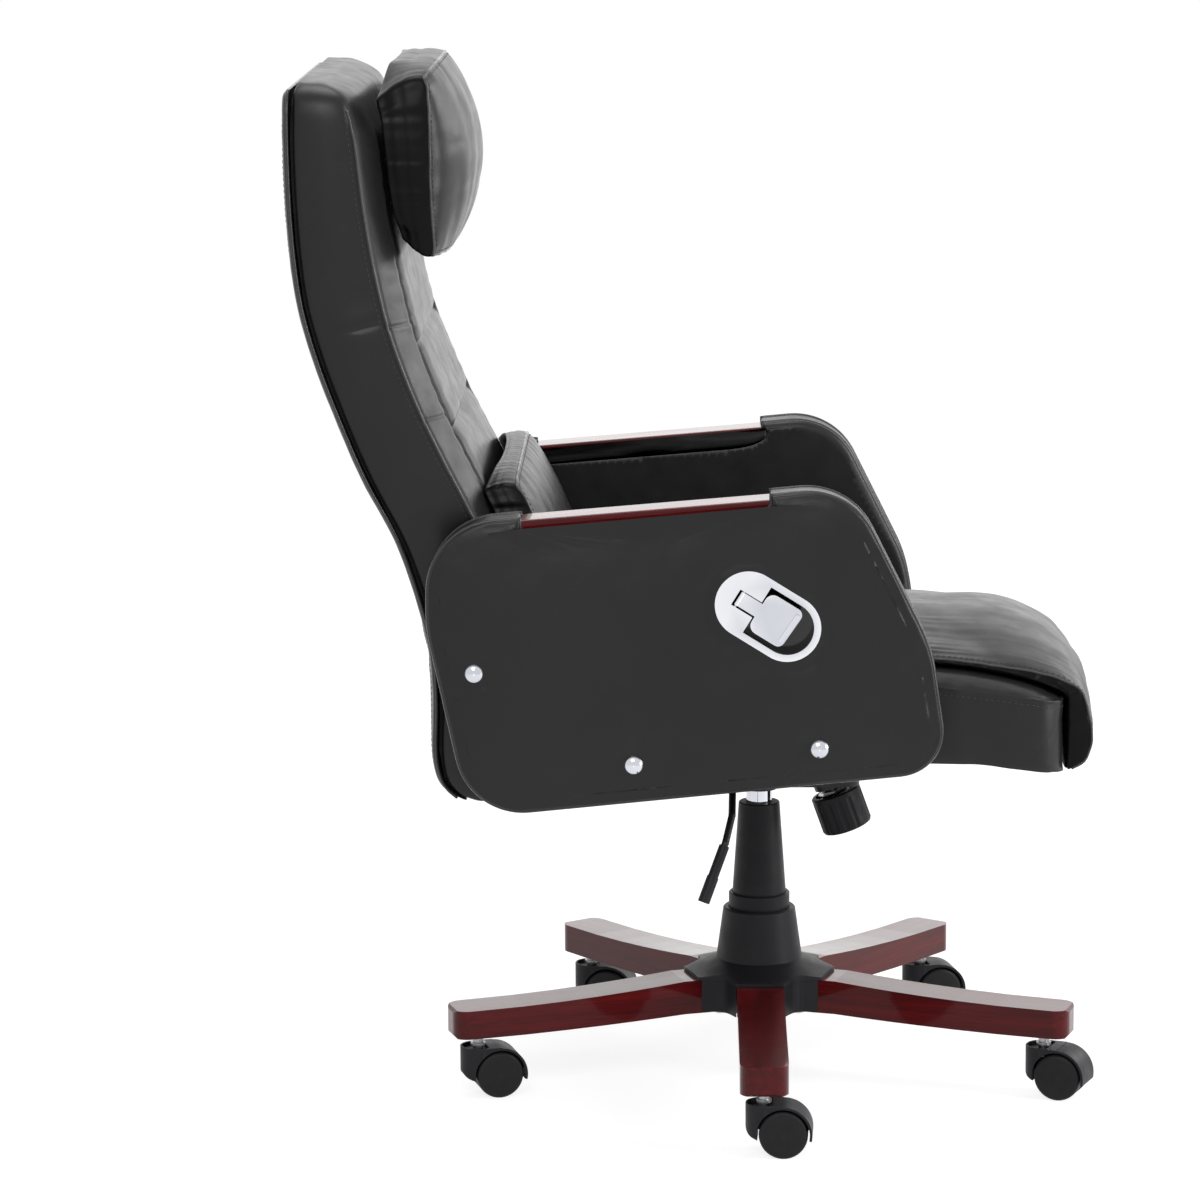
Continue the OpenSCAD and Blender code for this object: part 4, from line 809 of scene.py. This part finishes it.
def pillow(name, replaced, half, z0, z1, lean, edge, crown, flat, slack, seed, gather):
    """Pillow from z0 to z1, half wide on each side; edge is its strip's width and crown its front's rise."""
    high = z1 - z0
    nu, nv = int(half * 2 / PILLOW_STEP), int(high / PILLOW_STEP)
    us, vs = np.linspace(-1, 1, nu), np.linspace(0, 1, nv)
    u, v = np.meshgrid(us, vs, indexing="ij")
    b = 2 * v - 1
    x = half * u * (1 - 0.035 * b**2 - 0.01 * b**4)
    z = z0 + high * (0.5 + b / 2 * (1 - 0.05 * u**2))
    z = z - 8 * np.abs(u) ** 6 * np.where(v > 0.5, v, 0.2)
    arch = np.maximum(0, np.sin(np.pi * (0.03 + 0.94 * v))) ** 0.85
    lift = np.maximum(0, 1 - np.abs(u) ** 2.4) ** 0.6 * arch
    back = pillow_rear(x, z) - 0.4
    ahead = (1 - flat) * back + flat * (pillow_rear(0 * x, z) - 0.4)
    deep = edge * (1 - 0.1 * np.abs(u) ** 8)
    rim = 1 - 0.15 * np.clip((np.abs(b) - 0.86) / 0.14, 0, 1) ** 2
    front = np.stack([x, ahead - deep * rim - crown * lift - lean * v, z], -1)
    rear = np.stack([x, back, z], -1)
    loop = ([(i, 0) for i in range(nu)] + [(nu - 1, j) for j in range(1, nv)]
            + [(i, nv - 1) for i in range(nu - 2, -1, -1)] + [(0, j) for j in range(nv - 2, 0, -1)])
    rim_i, rim_j = np.array(loop).T
    front_rim, rear_rim = front[rim_i, rim_j], rear[rim_i, rim_j]
    flat_out = outward(front_rim[:, [0, 2]])
    out = np.stack([flat_out[:, 0], 0 * flat_out[:, 0], flat_out[:, 1]], 1)
    steps = np.linspace(0, 1, PILLOW_BAND + 1)[1:-1]
    hang = slump(us[rim_i], vs[rim_j], slack)
    band = [front_rim + (rear_rim - front_rim) * s + out * 3.2 * math.sin(math.pi * s) ** 0.7 + hang * s * s
            for s in steps]
    rear = rear + slump(u.ravel(), v.ravel(), slack).reshape(rear.shape)
    verts = np.concatenate([front.reshape(-1, 3)] + band + [rear.reshape(-1, 3)])
    faces, rows = pillow_faces(nu, nv, loop, len(band))
    o = make(name, verts, faces)
    base, nb, total = nu * nv, len(loop), len(verts)
    index = np.arange(total)
    is_front, is_rear = index < base, index >= total - base
    is_band = ~(is_front | is_rear)
    middle = rows[len(rows) // 2]
    pin = np.where(is_rear, 1.0, 0.0)
    pin[rows[0]] = 0.55
    pin[middle] = 0.35
    swell(o, pin, pressure=4.5, cap=7.0, shrink=3.0, bend=0.3)
    rim_d = np.full(total, 99.0)
    run = np.zeros(total)
    edge_u, edge_v = (1 - np.abs(u.ravel())) * half, np.minimum(v.ravel(), 1 - v.ravel()) * high
    rim_d[:base] = np.minimum(edge_u, edge_v)
    run[:base] = np.where(edge_u < edge_v, v.ravel() * high, u.ravel() * half)
    for r, s in enumerate(steps):
        ids = slice(base + r * nb, base + (r + 1) * nb)
        rim_d[ids] = min(s, 1 - s) * edge
        run[ids] = lengths(front_rim)
    x, y, z = coords(o).T
    d = only(is_front, 0.8 * np.exp(-rim_d / 16) * ripple(run, seed, 30))
    folds = streaks(x, z, seed + 1, 60, 240) + 0.8 * crease(z, x, seed + 2, 120, 420)
    d += only(is_front, folds * smooth(4, 40, rim_d))
    ends = smooth(0.75, 0.95, np.abs(x) / half)
    gathers = gather * (0.35 + 0.65 * ends) * ripple(run, seed + 3, 11)
    d += only(is_band, gathers * np.sin(np.pi * np.clip(rim_d / edge * 1.4 + 0.15, 0, 1)))
    d[rows[0]] -= 1.2
    d[middle] -= 1.6
    press(o, d)
    cushion(o, "back", replaced)
    centres = read(o.data.polygons, "center")
    flat_faces = 2 * (nu - 1) * (nv - 1)
    # The pillow's end strips get the darker leather: painted shade.
    paint_shade_on(o, (np.arange(len(centres)) >= flat_faces) & (np.abs(centres[:, 0]) / MM > half * 0.93))
    tree = skin_of(o)
    rim_line = coords(o)[rows[0]]
    add_welt(name + "_welt", onto(tree, evenly(rim_line, 4.0, True))[0], 1.5, "back", up=(0, 1, 0))
    mid = rim_line.mean(0)
    inset = mid + (rim_line - mid) * [1 - 6 / half, 1, 1 - 12 / high]
    add_stitches(name + "_stitches", tree, inset, "back", closed=True)


# Seat

SEAT_GAP, SEAT_FRONT, SEAT_REAR, SEAT_Z = 472.0, 309.0, 201.0, 388.0
SEAT_CROWN = 28.0
SEAT_ROUND = 34


def seat_half(y):
    """Half width of the seat, round at its corners."""
    front = np.maximum(0, SEAT_ROUND - (y + SEAT_FRONT))
    rear = np.maximum(0, SEAT_ROUND - (SEAT_REAR - y))
    corner = np.sqrt(np.maximum(0, SEAT_ROUND**2 - np.maximum(front, rear) ** 2 * 0.96))
    return SEAT_GAP / 2 - 0.4 - SEAT_ROUND + corner


def seat_seam(y):
    return curve([[-SEAT_FRONT, 447], [-250, 456], [-150, 466], [SEAT_REAR, 466]], y)


def seat_low(y):
    return curve([[-SEAT_FRONT, 374], [-260, 381], [-190, SEAT_Z - 1], [SEAT_REAR, SEAT_Z - 1]], y)


def seat_high(y):
    share = curve([[-SEAT_FRONT, 0.15], [-270, 0.72], [-200, 1], [SEAT_REAR, 1]], y)
    return seat_seam(y) + SEAT_CROWN * share


def seat_ring(y):
    """Outline across the seat at y, each half from the underside up the side to the crown."""
    w, low, seam, high = (float(f(y)) for f in (seat_half, seat_low, seat_seam, seat_high))
    crown = high - seam
    side = np.linspace(0, 1, 15)
    tuck = 5 * (1 - np.sin(np.clip(side / 0.08, 0, 1) * np.pi / 2))
    xs = w - tuck + 1.5 * np.sin(np.pi * side) - 0.8
    zs = low + (seam - low) * side
    a = np.radians(np.linspace(7, 67.5, 9))
    sx, sz = w - SEAT_ROUND * (1 - np.cos(a)), seam + crown * 0.62 * np.sin(a)
    t = np.linspace(0.83, 0.03, 18)
    blend = smooth(0.83, 0.6, t)
    tz = high - crown * 0.5 * t * t
    tz = tz * blend + (1 - blend) * np.minimum(tz, sz[-1] + 1)
    half = np.concatenate([[[w * 0.4, low], [w - 6, low]], np.stack([xs, zs], 1), np.stack([sx, sz], 1),
                           np.stack([w * t, tz], 1)])
    ring = np.concatenate([half, half[::-1] * [-1, 1]])
    return np.column_stack([ring[:, 0], np.full(len(ring), y), ring[:, 1]])


def upholster_seat():
    front_ys = np.linspace(-SEAT_FRONT, -SEAT_FRONT + SEAT_ROUND, 14)
    ys = np.r_[front_ys, lines(-268, SEAT_REAR - 8, 8.0), np.linspace(SEAT_REAR - 6, SEAT_REAR, 3)]
    o, _ = tube("seat_leather", [seat_ring(y) for y in ys], (0.985, 0.95, 0.85, 0.65, 0.35, 0.1))
    x, y, z = coords(o).T
    seam_d = np.abs(z - seat_seam(y))
    face = y < -SEAT_FRONT + 20
    shown = (np.abs(x) > seat_half(y) * 0.93) | face
    pin = np.where((z < seat_low(y) + 5) | (y > 120) | (np.abs(x) < 150) & ~face, 1.0, 0.15)
    pin = np.where((seam_d < 3) & shown, 1.0, pin)
    swell(o, pin, pressure=3.0, cap=4.0, shrink=2.5)
    d = -1.9 * shown * bump(seam_d, 2.3) + shown * 0.8 * np.exp(-seam_d / 9) * ripple(y + x, 31, 15)
    folds = 0.6 * streaks(y, z, 32, 60, 220) + 0.5 * crease(y + z, z, 33, 110, 300)
    d += shown * smooth(4, 20, seam_d) * folds
    press(o, d)
    cushion(o, "seat", "seat_cushion")
    tree = skin_of(o)
    yl = np.r_[front_ys, np.arange(-270, -90, 5.0)]
    for k, s in (("near", -1), ("far", 1)):
        row = np.stack([s * (seat_half(yl) + 2), yl, seat_seam(yl) - 4.5], 1)
        add_stitches("seat_stitches_" + k, tree, row, "seat")


# Pad that is draped over the seat and its front edge

PAD_HALF, PAD_T = 199.0, 19.0
PAD_UNDER, PAD_GUSSET, PAD_TOP = 13, 7, 69


def pad_table():
    """The pad's middle line from its rear to its lower front edge.

    Each row is y, z, the direction of its thickness in degrees, its thickness, and that of its edge."""
    def on(y, way, thick, edge, lift=0.8):
        return y, float(seat_high(y)) + lift, way, thick, edge
    fy = -(SEAT_FRONT + 2)
    return np.array([
        (205, float(seat_high(150)) + 4, 90, 3, 2), on(200, 90, PAD_T * 0.8, 7), on(180, 90, PAD_T, 8),
        on(90, 90, PAD_T, 8), on(-30, 90, PAD_T, 8), on(-130, 90, PAD_T, 8), on(-200, 92, PAD_T + 2, 8),
        on(-245, 104, PAD_T + 12, 9), on(-278, 122, PAD_T + 11, 12, 1.6), on(-304, 145, PAD_T + 6, 16, 3),
        (fy, 450, 158, PAD_T + 8, 19), (fy, 434, 168, PAD_T + 13, 23), (fy, 418, 176, PAD_T + 18, 27),
        (fy, 401, 188, PAD_T + 16, 27), (fy, 386, 195, PAD_T + 8, 20), (fy + 1, 375, 200, 10, 7)], float)


def pad_ring(y, z, way, thick, edge, top_x):
    """Outline across the pad: underside, far gusset, top, near gusset."""
    if way < 150:
        sag = 0.5 * float(seat_high(y) - seat_seam(y))
    else:
        sag = 0.5 * float(seat_high(-304) - seat_seam(-304)) * max(0, (165 - way) / 15)
    half_flat = float(seat_half(0))
    a = math.radians(way)
    out = np.array([0, math.cos(a), math.sin(a)])

    def points(x, rise):
        drop = np.stack([0 * x, 0 * x, -sag * (x / half_flat) ** 2], 1)
        return np.array([0, y, z]) + np.stack([x, 0 * x, 0 * x], 1) + out * rise[:, None] + drop

    under = np.linspace(-1, 1, PAD_UNDER) * PAD_HALF
    q = np.linspace(0, 1, PAD_GUSSET + 2)[1:-1]
    gusset = points(np.full(PAD_GUSSET, PAD_HALF), edge * q)
    gusset[:, 0] += 3.4 * np.sin(np.pi * q) ** 0.6
    tx = top_x * PAD_HALF
    rise = edge + (thick - edge) * np.maximum(0, 1 - top_x**2) ** 0.62
    return np.concatenate([points(under, 0 * under), gusset, points(tx, rise), gusset[::-1] * [-1, 1, 1]])


def drape_pad():
    path = pad_table()
    s = lengths(path[:, :2])
    fine = np.arange(0, s[-1] + 1, 5.0)
    fine = np.r_[fine[fine < s[-1]], s[-1]]
    stations = [curve(np.stack([s, column], 1), fine) for column in path.T]
    even = np.linspace(1, -1, PAD_TOP)
    top_x = np.sin(even * np.pi / 2) * 0.45 + even * 0.55
    rings = [pad_ring(*station, top_x) for station in zip(*stations)]
    n = len(rings[0])
    o, skip = tube("pad_leather", rings, (0.9, 0.6, 0.3))
    co = coords(o)
    x, y, z = co.T
    index = np.arange(len(co))
    col = index % n
    run = fine[np.clip((index - skip) // n, 0, len(fine) - 1)]
    far_rim = PAD_UNDER + PAD_GUSSET
    near_rim = far_rim + PAD_TOP - 1
    under = col < PAD_UNDER
    top = (col >= far_rim) & (col <= near_rim)
    gusset = ~(under | top)
    rim = (col == far_rim) | (col == near_rim)
    pin = np.where(rim, 0.7, np.where(under, 1.0, 0.0))
    pin = np.where(run < 60, 1.0, pin)
    swell(o, pin, pressure=3.5, cap=5.0, shrink=2.5, bend=0.3)
    rim_d = np.maximum(0, PAD_HALF - np.abs(x))
    near_edge = np.exp(-rim_d / 55)
    calm = 1 - 0.75 * smooth(380, 470, run)
    patch = 0.45 + 0.55 * smooth(-0.4, 0.5, streaks(run, x, 47, 190, 200))
    pleats = streaks(x, run, 41, 13, 300) * smooth(0, 14, rim_d)
    creases = crease(x, run, 42, 30, 420) * smooth(4, 24, rim_d)
    d = only(top, patch * calm * ((0.15 + 1.5 * near_edge) * pleats + (0.3 + 1.3 * near_edge) * creases))
    d += only(top, 0.9 * streaks(x, run, 43, 110, 330))
    d += only(top, 0.8 * np.exp(-rim_d / 7) * ripple(run, 44, 15))
    d += only(gusset, 1.3 * ripple(run, 45, 19) + 1.2 * crease(run, z, 48, 60, 300))
    d -= only(rim, 1.0)
    d += only(top, smooth(430, 470, run) * 0.35 * streaks(run, x, 46, 40, 260))
    press(o, d)
    cushion(o, "seat", "seat_pad")
    first = np.array([p.vertices[0] for p in o.data.polygons]) % n
    # The pad's gussets and underside get the darker leather: painted shade.
    paint_shade_on(o, (first < far_rim) | (first >= near_rim))
    tree = skin_of(o)
    co = coords(o)
    for k, column, inward in (("near", near_rim, 6.0), ("far", far_rim, -6.0)):
        rim_pts = co[[skip + r * n + column for r in range(8, len(fine))]]
        add_welt("pad_welt_" + k, onto(tree, evenly(rim_pts, 4.0))[0], 1.4, "seat", closed=False)
        add_stitches("pad_stitches_" + k, tree, rim_pts + [inward, 0, 2], "seat")


# Arm panels

ARM_IN = 236.0
arm_corners = [[-87, 681, 74], [-168, 519, 160], [-187, 391, 46], [297, 344, 68], [339, 540, 180],
               [337, 643, 74]]
arm_mid = np.array([76.0, 514.0])
# Rows of the skin: distance out from the inner face, and inset from the outline
ARM_PROFILE = [(0.0, 8.0), (1.0, 4.6), (3.2, 1.8), (6.5, 0.4), (11, 0.0), (18, 0.3), (27, 0.6), (36, 0.3),
               (44, 0.0), (49, 0.2), (52, 1.0), (54, 2.6), (55.4, 5.0), (56.5, 8.5), (57.4, 13.0)]
ARM_T = ARM_PROFILE[-1][0]
ARM_CROWN, FACE_ROWS = 1.9, 3
OUTER_WELT_ROW, INNER_WELT_ROW = 9, 4
RAIL_REAR, RAIL_LEN, RAIL_T, RAIL_LEAN = np.array([243.0, 648.0]), 250.0, 13.0, math.radians(4.6)
RAIL_WAY = np.array([-math.cos(RAIL_LEAN), math.sin(RAIL_LEAN)])
RAIL_DOWN = np.array([-math.sin(RAIL_LEAN), -math.cos(RAIL_LEAN)])
RAIL_GAP = 0.3
bolts = [[-56, 416], [131, 400], [291, 494]]
PULL_AT, PULL_SPAN, PULL_R, PULL_SLOPE = np.array([-4.0, 552.0]), 45.3, 34.0, math.radians(32)
POCKET = 30
PULL_FAR = 400.0
FULL_CIRCLE = 6.283


def rounded(corners, n=14):
    """Closed outline through [y, z, radius] corners, each an arc of n steps."""
    pts = []
    m = len(corners)
    for i in range(m):
        p, r = np.array(corners[i][:2], float), corners[i][2]
        a, b = np.array(corners[i - 1][:2], float) - p, np.array(corners[(i + 1) % m][:2], float) - p
        u, v = a / np.linalg.norm(a), b / np.linalg.norm(b)
        half = math.acos(u @ v) / 2
        c = p + (u + v) / np.linalg.norm(u + v) * r / math.sin(half)
        start = p + u * r / math.tan(half) - c
        end = p + v * r / math.tan(half) - c
        a0 = math.atan2(start[1], start[0])
        turn = (math.atan2(end[1], end[0]) - a0 + 3 * math.pi) % (2 * math.pi) - math.pi
        angles = [a0 + turn * k / n for k in range(n + 1)]
        pts += [c + r * np.array([math.cos(q), math.sin(q)]) for q in angles]
    return np.array(pts)


def arm_outline():
    """Side view of an arm panel, with the rail's notch in its top."""
    pts = evenly(rounded(arm_corners), None, True, 1600)
    along, depth = (pts - RAIL_REAR) @ RAIL_WAY, (pts - RAIL_REAR) @ RAIL_DOWN
    g = RAIL_GAP
    cut = (along > -g) & (along < RAIL_LEN + g) & (depth < RAIL_T) & (pts[:, 1] > 560)
    nose = [(36, 1), (26, 0.97), (14, 0.84), (5, 0.62), (-g, 0.35)]
    notch = [(-g, RAIL_T + g)] + [(RAIL_LEN - back, RAIL_T * share + g) for back, share in nose]
    way = [RAIL_REAR + RAIL_WAY * a + RAIL_DOWN * b for a, b in notch]
    first = int(np.nonzero(cut & ~np.roll(cut, 1))[0][0])
    pts, cut = np.roll(pts, -first, 0), np.roll(cut, -first)
    return evenly(np.vstack([pts[~cut], way]), 4.5, True)


def pull_distance(y, z):
    """Distance from the middle line of the escutcheon."""
    c, s = math.cos(PULL_SLOPE), math.sin(PULL_SLOPE)
    dy, dz = -(y - PULL_AT[0]), z - PULL_AT[1]
    u, v = dy * c - dz * s, dy * s + dz * c
    u = u - np.clip(u, -PULL_SPAN / 2, PULL_SPAN / 2)
    return np.hypot(u, v)


def pull_outline(grow):
    """Outline of the escutcheon, grown outward, in the arm's side view."""
    r, half = PULL_R + grow, PULL_SPAN / 2
    a = np.radians(np.arange(-90, 91, 7.5))
    flat = np.linspace(half, -half, 13)[1:-1]
    x = np.r_[half + r * np.cos(a), flat, -half - r * np.cos(a), -flat]
    y = np.r_[r * np.sin(a), 0 * flat + r, -r * np.sin(a), 0 * flat - r]
    c, s = math.cos(PULL_SLOPE), math.sin(PULL_SLOPE)
    return np.stack([PULL_AT[0] - (x * c + y * s), PULL_AT[1] - x * s + y * c], 1)


def fans(angle, ways, sharp):
    """Rays round a point: each direction's strength along it, and about 0 between them."""
    return sum(np.maximum(0, np.cos(angle - q)) ** sharp * strength for q, strength in ways)


def arm_dents(y, z, bolt_d, pull_d):
    """Depth of an arm face's hollows and puckers round the bolts and the pull."""
    d = -2.4 * bump(bolt_d, 12) - 0.8 * smooth(40, 0, pull_d) * (pull_d > 0)
    rays = 0
    for i, (by, bz) in enumerate(bolts):
        r = np.hypot(y - by, z - bz)
        ways = [((0.4 + 0.9 * j + 0.37 * i * j) % FULL_CIRCLE, 0.6 + 0.4 * math.sin(j * 2.1 + i))
                for j in range(7)]
        rays = rays + fans(np.arctan2(z - bz, y - by), ways, 70) * np.exp(-r / 26) * smooth(9, 16, r)
    d = d - 1.5 * rays
    angle = np.arctan2(z - PULL_AT[1], -(y - PULL_AT[0]))
    pull_rays = fans(angle, [(q, 1) for q in (-1.15, -0.82, -0.5, 0.6, 2.3, -2.5)], 90)
    return d - only(pull_d > 0, 0.9 * pull_rays * np.exp(-pull_d / 45) * smooth(0, 10, pull_d))


def upholster_arm(side):
    """Arm panel with two welts; the near one, at side -1, has a pocket for the pull."""
    k = "left" if side > 0 else "right"
    loop = arm_outline()
    n, m = len(loop), len(ARM_PROFILE)
    out = outward(loop)
    for _ in range(10):
        out = (out + np.roll(out, 1, 0) + np.roll(out, -1, 0)) / 3
    out = unit(out)
    along, depth = (loop - RAIL_REAR) @ RAIL_WAY, (loop - RAIL_REAR) @ RAIL_DOWN
    under = smooth(0, 14, along) * smooth(RAIL_LEN - 26, RAIL_LEN - 46, along)
    under *= np.abs(depth - RAIL_T) < 1.6
    rows = []
    for x, inset in ARM_PROFILE:
        inward = inset + 4.5 * smooth(48, 54, x) * under
        rows.append(np.column_stack([np.full(n, ARM_IN + x), loop - out * inward[:, None]]))
    ways = [pull_outline(g) for g in (0.5, -3.0, -3.4)] if side < 0 else []
    outer, outer_tris = filled(rows[-1][:, 1:], 5.0, ways)
    inner, inner_tris = filled(rows[0][:, 1:], 9.0)
    rim_gap = np.min(np.linalg.norm(outer[n:, None] - outer[None, :n:3], axis=2), axis=1)
    rise = ARM_IN + ARM_T + ARM_CROWN * smooth(-6, 22, rim_gap)
    if side < 0:
        rise = rise - POCKET * (pull_distance(outer[n:, 0], outer[n:, 1]) < PULL_R - 3.2)
    verts = np.concatenate([*rows, np.column_stack([rise, outer[n:]]),
                            np.column_stack([np.full(len(inner) - n, ARM_IN), inner[n:]])])
    base, last = m * n, (m - 1) * n
    inner_base = base + len(outer) - n
    faces = tube_faces(m, n)
    faces += [tuple(last + i if i < n else base + i - n for i in t) for t in outer_tris]
    faces += [tuple(i if i < n else inner_base + i - n for i in t) for t in inner_tris]
    verts[:, 0] *= side
    o = make("arm_leather_" + k, verts, faces)
    _, y, z = coords(o).T
    index = np.arange(len(verts))
    row = np.where(index < base, index // n, np.where(index < inner_base, m, -1))
    on_face = row >= m - FACE_ROWS
    welt_row = (row == OUTER_WELT_ROW) | (row == INNER_WELT_ROW)
    bolt_d = np.min([np.hypot(y - b[0], z - b[1]) for b in bolts], 0)
    pull_d = pull_distance(y, z) - PULL_R if side < 0 else np.full(len(verts), PULL_FAR)
    pin = np.where(on_face, 0.0, 0.8)
    pin = np.where((row < 1) | welt_row, 1.0, pin)
    pin = np.max([pin, smooth(16, 9, bolt_d), smooth(12, 3, pull_d)], 0)
    pin[:base] = np.maximum(pin[:base], np.tile(under, m))
    swell(o, pin, pressure=2.2, cap=2.6, shrink=1.6, bend=0.4)
    far = np.concatenate([np.zeros(base), rim_gap, np.full(len(inner) - n, 99.0)])
    run = np.arctan2(z - arm_mid[1], y - arm_mid[0]) * 220
    folds = 0.55 * streaks(y + z, y, 50 + side, 130, 600) + 0.35 * crease(y + z * 0.6, z, 53 + side, 170, 700)
    d = arm_dents(y, z, bolt_d, pull_d) + smooth(0, 30, pull_d) * folds
    d += 0.2 * np.exp(-far / 12) * ripple(run, 55 + side, 26)
    d = only(on_face, d) - only(row == OUTER_WELT_ROW, 1.3) - only(row == INNER_WELT_ROW, 1.1)
    press(o, d)
    co = coords(o)
    soften(o, only(row >= m - 1, smooth(30, 12, far)) * smooth(2, 8, pull_d), 6)
    co[:, 0] = coords(o)[:, 0]
    set_coords(o, co)
    cushion(o, "seat", "arm_panel_" + k)
    co = coords(o)
    for label, welt_at, r in (("outer", OUTER_WELT_ROW, 2.5), ("inner", INNER_WELT_ROW, 1.6)):
        add_welt(f"arm_welt_{label}_{k}", co[welt_at * n:(welt_at + 1) * n], r, "seat")


upholster_back()
cover_rear()
pillow("head_leather", "head_pillow", half=185.0, z0=897.0, z1=1097.0, lean=18.0, edge=26.0, crown=39.0,
       flat=0.7, slack=23.0, seed=60, gather=0.9)
pillow("lumbar_leather", "lumbar_pillow", half=200.0, z0=540.0, z1=682.0, lean=-2.0, edge=26.0, crown=8.0,
       flat=0.8, slack=6.0, seed=70, gather=1.9)
upholster_seat()
drape_pad()
for arm_side in (-1, 1):
    upholster_arm(arm_side)

# Stage, light and camera

FLOOR = 9000


def background_rays(t):
    """1 for rays that look at the background, straight or in gloss or glass."""
    path = node(t, "ShaderNodeLightPath")
    total = path.outputs["Is Camera Ray"]
    for kind in ("Is Glossy Ray", "Is Transmission Ray"):
        either = node(t, "ShaderNodeMath", operation="MAXIMUM")
        t.links.new(total, either.inputs[0])
        t.links.new(path.outputs[kind], either.inputs[1])
        total = either.outputs[0]
    return total


def pale_floor():
    """Grey floor that is brighter to the rays that look at it."""
    m, t, s = material("floor")
    t.nodes.remove(s)
    colour = ramp(t, noise(t, place(t), 3.0, 2.0), [(0.3, (0.39, 0.39, 0.39)), (0.7, (0.41, 0.41, 0.41))])
    diffuse = node(t, "ShaderNodeBsdfDiffuse", Color=colour)
    glow = node(t, "ShaderNodeEmission", Strength=spread(t, background_rays(t), 0.0, 0.8, 0.0, 1.0))
    both = node(t, "ShaderNodeAddShader")
    t.links.new(diffuse.outputs["BSDF"], both.inputs[0])
    t.links.new(glow.outputs["Emission"], both.inputs[1])
    t.links.new(both.outputs["Shader"], t.nodes["Material Output"].inputs["Surface"])
    corners = [[-FLOOR, -FLOOR, 0], [FLOOR, -FLOOR, 0], [FLOOR, FLOOR, 0], [-FLOOR, FLOOR, 0]]
    floor = make("floor", corners, [(0, 1, 2, 3)])
    floor.data.materials.append(m)


def studio():
    """White world, at half strength on the object."""
    world = bpy.data.worlds.new("studio")
    scene.world = world
    world.use_nodes = True
    t = world.node_tree
    fill_in(t, t.nodes["Background"], {"Color": (1, 1, 1, 1),
                                       "Strength": spread(t, background_rays(t), 0.5, 1.0, 0.0, 1.0)})


def lamp(name, at, to, size, power, tall=1.0):
    """Rectangle lamp, size wide and tall times as high, in metres and watts."""
    data = bpy.data.lights.new(name, "AREA")
    data.shape = "RECTANGLE"
    data.size = size
    data.size_y = size * tall
    data.energy = power
    o = bpy.data.objects.new(name, data)
    o.location = at
    o.visible_camera = False
    o.rotation_mode = "QUATERNION"
    o.rotation_quaternion = (Vector(to) - Vector(at)).to_track_quat("-Z", "Y")
    scene.collection.objects.link(o)


CAMERA_AT = (-4.9545, 0.0806, 1.3929)
YAW, PITCH, ROLL = 0.0179, 0.175, -0.0057
FOCAL, PICTURE, SENSOR = 4730.0, 1200, 36


def look():
    """Camera at the photograph's angle: FOCAL is in pixels of a picture PICTURE wide."""
    ahead = Vector((math.cos(PITCH) * math.cos(YAW), math.cos(PITCH) * math.sin(YAW), -math.sin(PITCH)))
    level_right = ahead.cross(Vector((0, 0, 1))).normalized()
    level_up = level_right.cross(ahead)
    right = math.cos(ROLL) * level_right + math.sin(ROLL) * level_up
    up = -math.sin(ROLL) * level_right + math.cos(ROLL) * level_up
    matrix = Matrix((right, up, -ahead)).transposed().to_4x4()
    matrix.translation = Vector(CAMERA_AT)
    camera = bpy.data.objects.new("camera", bpy.data.cameras.new("camera"))
    scene.collection.objects.link(camera)
    camera.matrix_world = matrix
    camera.data.sensor_width = SENSOR
    camera.data.lens = FOCAL / PICTURE * SENSOR
    camera.data.clip_end = 100
    scene.camera = camera


pale_floor()
studio()
lamp("key", (-0.9, -2.6, 1.3), (0, 0, 0.7), 0.8, 52, 2.4)
lamp("fill", (-3.0, 0.6, 2.3), (0, 0, 0.7), 1.1, 30)
lamp("top", (0.3, 0.4, 3.1), (0, 0, 0.5), 1.3, 26)
lamp("rim", (2.0, -2.3, 1.5), (0, 0, 0.7), 1.2, 17)
lamp("back", (3.6, -0.3, 1.4), (0, 0, 0.5), 2.6, 12)
look()
scene.view_settings.view_transform = "Standard"
